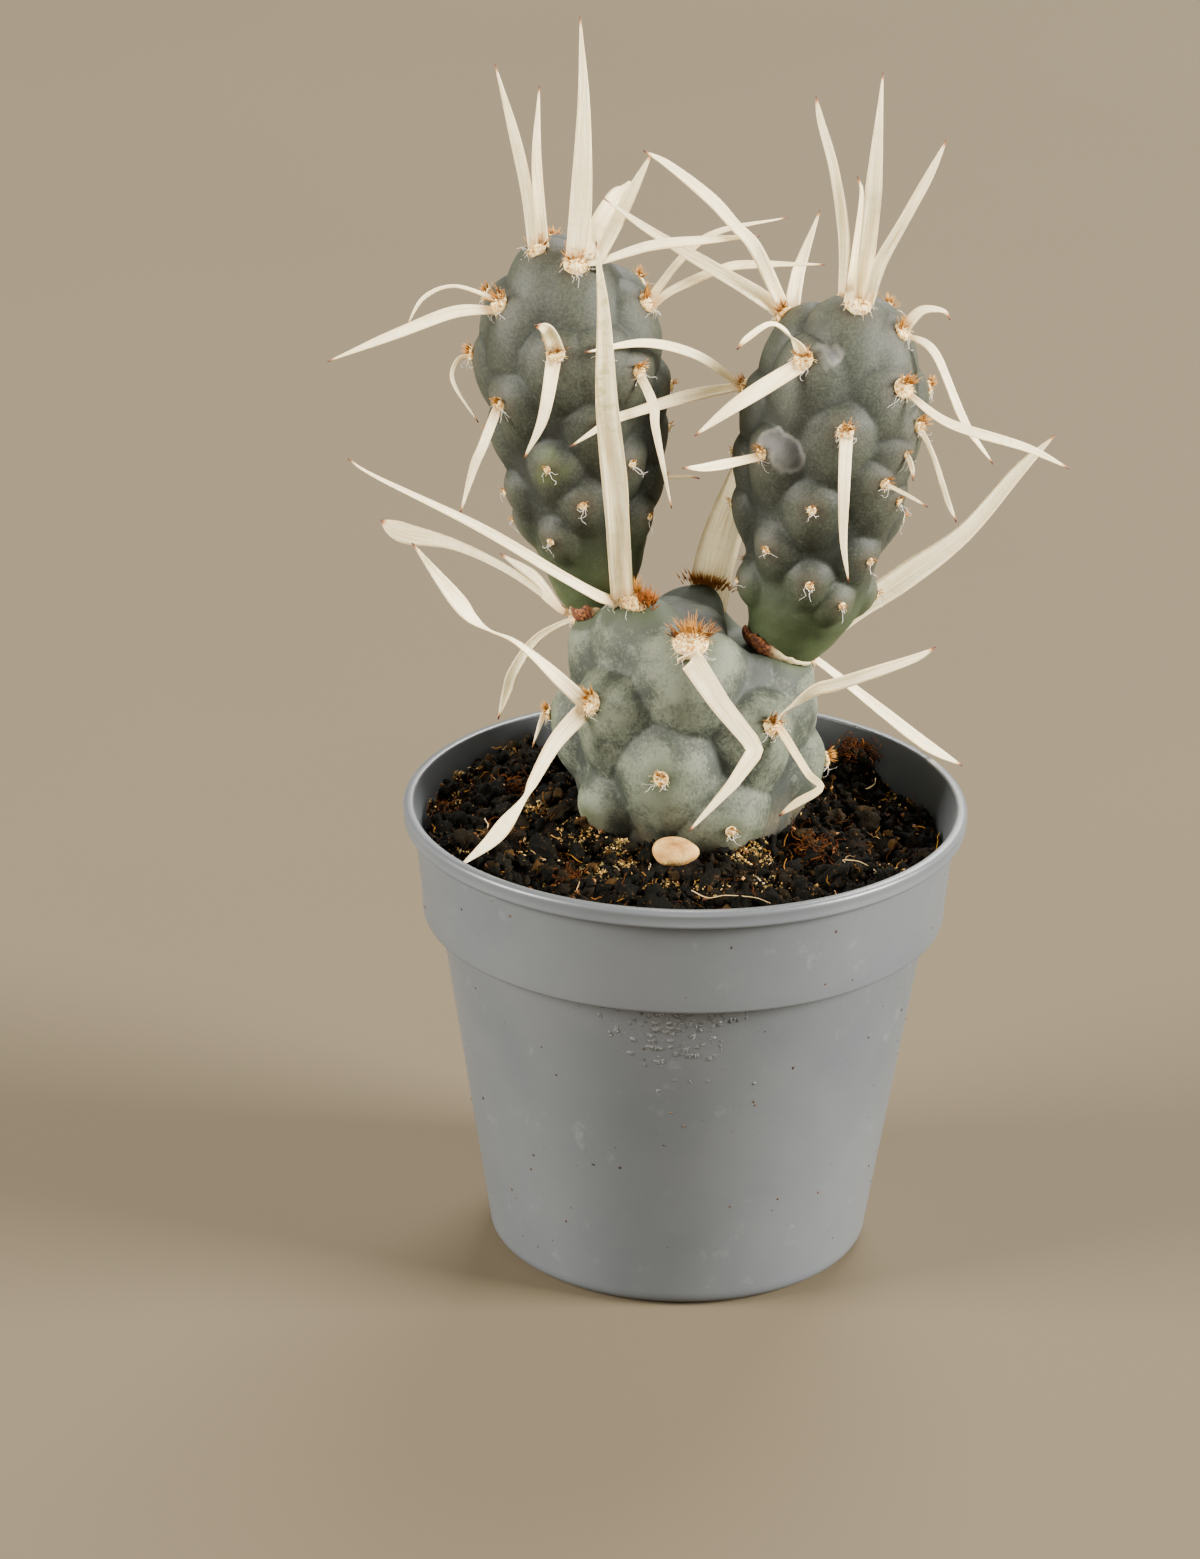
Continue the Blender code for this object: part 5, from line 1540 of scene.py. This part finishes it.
def rough_ball(seed, cuts):
    """A jagged lump about one across, and its faces."""
    points, faces = ball(cuts, 0.5)
    lumps = 0.42 * ripple(points, 0.40, seed) + 0.30 * ripple(points, 0.16, seed + 9)
    return points * (1 + lumps)[:, None], faces


def random_turn(draw):
    """A random rotation as three unit rows."""
    first = unit(stray(draw, 1))
    second = unit(np.cross(first, stray(draw, 1)))
    return np.array([first, second, np.cross(first, second)])


def inside_wall(place, size):
    """The place, moved inwards if something of that size would reach the pot's wall there."""
    reach = max(math.hypot(place[0], place[1]), 1e-6)
    share = min(1.0, (INSIDE_WALL - 0.6 * size) / reach)
    return place * np.array((share, share, 1.0))


def free_place(draw):
    """A random place on the peat, outside the stem and inside the pot."""
    while True:
        x, y = (draw.uniform(-PEAT_EDGE, PEAT_EDGE) for _ in range(2))
        on_stem = math.hypot(x - base.foot[0], y - base.foot[1]) < STEM_CLEARANCE
        on_pebble = math.hypot(x - PEBBLE_CENTRE[0], y - PEBBLE_CENTRE[1]) < PEBBLE_CLEARANCE
        if math.hypot(x, y) < PEAT_EDGE and not on_stem and not on_pebble:
            return x, y


def near_place(draw):
    """A random place close to one of the mossy spots."""
    x, y, spread = draw.choice(MOSS_SPOTS)
    return x + draw.gauss(0, spread), y + draw.gauss(0, spread)


def scatter(name, count, low, high, power, finish, squash, cuts, spot):
    """Lay lumps on the peat; a high power gives many small ones and few large ones."""
    draw = random.Random(70 + count % 7)
    shapes = [rough_ball(60 + k, cuts) for k in range(STONES)]
    bunch = Bunch()
    for _ in range(count):
        x, y = spot(draw)
        size = low + (high - low) * draw.random() ** power
        points, faces = shapes[draw.randrange(STONES)]
        shaped = (points * np.array(squash) * size) @ random_turn(draw)
        x, y, _ = inside_wall(np.array((x, y, 0.0)), size)
        middle = np.array((x, y, peat_top(x, y) + 0.15 * size))
        bunch.add(shaped + middle, faces, shade=draw.random())
    return bunch.finish(name, finish)


# %% Crumb finishes
crumb_black = flecked(
    "peat_crumb", [(0.0, (5, 5, 3)), (0.6, (12, 11, 7)), (0.9, (26, 20, 10)), (1.0, (62, 42, 16))],
    (1800, 4, 0.7), (0.60, 0.72, (84, 58, 28)), depth=0.3, Roughness=0.95, Specular_IOR_Level=0.08)
flake_straw = flecked(
    "peat_flake", [(0.0, (96, 52, 20)), (0.5, (150, 92, 36)), (1.0, (206, 160, 84))],
    (2400, 3), (0.45, 0.7, (60, 36, 16)), depth=0.2, Roughness=0.8)
moss_gold = flecked(
    "peat_moss",
    [(0.0, (52, 50, 18)), (0.4, (112, 92, 34)), (0.75, (176, 130, 56)), (1.0, (224, 184, 110))],
    (2600, 3), (0.5, 0.7, (40, 30, 14)), Roughness=0.85)

# %% Loose bits
for row in (("peat_clods", 120, 1.6, 4.0, 1.6, crumb_black, (1, 0.8, 0.6), 3, free_place),
            ("peat_crumbs", 2050, 0.35, 2.0, 3.4, crumb_black, (1, 0.8, 0.6), 2, free_place),
            ("peat_grit", 4420, 0.15, 0.6, 1.4, crumb_black, (1, 0.8, 0.7), 1, free_place),
            ("peat_flakes", 420, 0.2, 0.9, 1.8, flake_straw, (1, 0.6, 0.25), 2, free_place),
            ("peat_moss", 3400, 0.12, 0.62, 1.5, moss_gold, (1, 0.55, 0.4), 1, near_place)):
    scatter(*row)

# %% [markdown]
# Fibres lie about singly and gather in a few tangles: one stands above the lip at the back
# right, a round one lies at the right of the stem, and one clings to the wall at the left.
# Each tangle has a middle, a width, a height and a count. Three pale threads lie on top.

# %% Fibres
FIBRES = 420
TANGLES = [
    ((20.8, 20.9, 51.6), 2.4, 1.7, 110), ((15.0, -4.4, 49.3), 2.0, 1.3, 150),
    ((-28.2, 3.4, 49.8), 1.6, 2.0, 60), ((-20.5, 11.0, 50.2), 2.2, 1.2, 60),
    ((-13.5, -13.8, 49.8), 1.8, 0.8, 50)]
THREADS = [
    [(0.6, -19.3, 51.0), (2.4, -20.4, 50.6), (4.4, -20.8, 51.1), (7.6, -20.6, 50.8),
     (9.4, -21.2, 50.4)],
    [(18.2, -8.4, 50.0), (18.0, -10.0, 51.0), (19.6, -10.8, 51.2), (20.8, -10.2, 50.4)],
    [(-23.0, -12.6, 50.4), (-21.6, -13.4, 51.0), (-20.6, -13.2, 50.2)]]


def wander(start, steps, stride, draw, pull=0.0):
    """A line that strays from a start, is pulled back to it, and keeps inside the pot."""
    start = np.array(start, float)
    point = start
    way = unit([draw.gauss(0, 1), draw.gauss(0, 1), draw.gauss(0, 0.35)])
    line = [point]
    for _ in range(steps):
        way = unit(way + stray(draw, 0.5) + pull * (start - point))
        point = point + way * stride
        line.append(point)
    return [inside_wall(point, 0.3) for point in line]


def make_fibres(finish):
    """Single fibres and tangles of fibre on the peat, and a few pale threads."""
    bunch = Bunch()
    draw = random.Random(88)
    for _ in range(FIBRES):
        x, y = free_place(draw)
        line = wander((x, y, peat_top(x, y) + 0.35), 5, draw.uniform(0.25, 0.6), draw)
        add_strand(bunch, line, draw.uniform(0.04, 0.10), shade=draw.random())
    for centre, wide, tall, count in TANGLES:
        for _ in range(count):
            x, y, rise = (draw.gauss(0, spread / 2) for spread in (wide, wide, tall))
            start = np.array(centre) + (x, y, abs(rise))
            line = wander(start, 7, draw.uniform(0.25, 0.48), draw, pull=0.3)
            add_strand(bunch, line, draw.uniform(0.05, 0.13), shade=draw.uniform(0, 0.55))
    for points in THREADS:
        add_strand(bunch, curve_through(points, 6), 0.07, shade=0.96)
    return bunch.finish("peat_fibres", finish)


fibre_husk = flecked(
    "peat_fibre",
    [(0.0, (34, 18, 4)), (0.5, (80, 40, 6)), (0.9, (156, 108, 40)), (1.0, (226, 200, 152))],
    (3000, 2), (0.0, 2.5, (40, 22, 10)), Roughness=0.9, Specular_IOR_Level=0.08)
make_fibres(fibre_husk)

# %% [markdown]
# ## Pebble
#
# One tan pebble leans against the front of the stem. It is a lumpy ellipsoid: smooth as a
# whole, pitted up close, and flat below, where it lies.

# %% Pebble
pebble_stone = flecked(
    "pebble_tan", [(0.0, (130, 84, 32)), (0.5, (174, 130, 66)), (1.0, (204, 166, 100))],
    (2600, 3), clouds=(500, 5), depth=0.12, Roughness=0.8)
pebble_points, pebble_faces = ball(5, 1.0)
pebble_lumps = 0.07 * ripple(pebble_points, 1.5, 15) + 0.03 * ripple(pebble_points, 0.5, 16)
pebble_points *= (1 + pebble_lumps)[:, None]
pebble_points[:, 1:] *= 1 - 0.16 * pebble_points[:, :1]
pebble_points[:, 2] = np.clip(pebble_points[:, 2], -0.93, 0.84)
pebble_points = PEBBLE_CENTRE + pebble_points * PEBBLE_RADII
pebble = make_piece("tan_pebble", pebble_points, pebble_faces, pebble_stone)
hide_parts("pebble")

# %% [markdown]
# ## Floor, light and camera
#
# The pot stands on a pale floor under soft studio light: a large lamp above and to the
# right, a weaker one at the left, one behind that shines through the papery spines, and a
# faint one low in front. The lamps stand about two metres away over a wide floor, so that
# their light falls evenly round the pot. The camera looks down at the angle of the
# photograph through a long lens.

# %% Floor
FLOOR_SIZE = 40.0
FLOOR_DROP = 0.0002

bpy.ops.mesh.primitive_plane_add(size=FLOOR_SIZE, location=(0, 0, -FLOOR_DROP))
floor = bpy.context.object
floor.name = "floor"
floor.data.materials.append(two_tone(
    "floor_card", (86, 77, 62), (90, 81, 65), clouds=8, Roughness=0.9, Specular_IOR_Level=0.1))
floor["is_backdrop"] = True
print(f"floor {FLOOR_SIZE:.0f} m wide")

# %% Lights
MIDDLE = np.array((0, 0, 0.07))
LAMPS = [
    ("key_lamp", (1.80, -0.42, 0.82), 0.84, 229.0, (1.0, 0.97, 0.90)),
    ("fill_lamp", (-1.74, -0.48, 0.82), 0.90, 149.0, (1.0, 0.96, 0.88)),
    ("front_lamp", (0.06, -2.10, 0.37), 0.96, 18.0, (1.0, 0.97, 0.90)),
    ("back_lamp", (0.45, 1.50, 1.51), 1.05, 90.0, (1.0, 0.97, 0.91)),
]
WORLD_COLOUR = (0.90, 0.86, 0.78, 1)
WORLD_STRENGTH = 0.24

for name, place, size, power, colour in LAMPS:
    light = bpy.data.lights.new(name, "AREA")
    light.size, light.energy, light.color = size, power, colour
    lamp = bpy.data.objects.new(name, light)
    lamp.location = place
    x, y, z = MIDDLE - place
    lamp.rotation_euler = (math.atan2(math.hypot(x, y), -z), 0, math.atan2(-x, y))
    bpy.context.scene.collection.objects.link(lamp)
world = bpy.data.worlds.new("studio")
bpy.context.scene.world = world
world.use_nodes = True
background = world.node_tree.nodes["Background"]
background.inputs["Color"].default_value = WORLD_COLOUR
background.inputs["Strength"].default_value = WORLD_STRENGTH
print(f"{len(LAMPS)} lamps")

# %% Camera
PHOTO_HEIGHT = 1559
FOCAL_PIXELS = 5650
SENSOR = 36.0
DISTANCE = 650.0
PITCH = math.radians(22.3)
ROLL = math.radians(0.75)
AIM = np.array((-9.85, 0.0, 56.4))

lens = bpy.data.cameras.new("photo_camera")
lens.sensor_width = SENSOR
lens.lens = FOCAL_PIXELS / PHOTO_HEIGHT * SENSOR
lens.clip_start = 0.01
camera = bpy.data.objects.new("photo_camera", lens)
camera.location = (AIM + DISTANCE * np.array((0, -math.cos(PITCH), math.sin(PITCH)))) * MM
camera.rotation_euler = (math.pi / 2 - PITCH, 0, 0)
camera.rotation_euler.rotate_axis("Z", ROLL)
bpy.context.scene.collection.objects.link(camera)
bpy.context.scene.camera = camera
print(f"lens {lens.lens:.1f} mm, looking down {math.degrees(PITCH):.1f} degrees")

# %% [markdown]
# ## Size of the pieces
#
# The finer pieces keep the CAD model's size, so both boxes are printed side by side.

# %% Sizes and finish
visual_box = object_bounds()
for word, box in (("CAD", cad_box), ("visual", visual_box)):
    print(word, [round((high - low) / MM, 1) for low, high in zip(*box)], "mm")
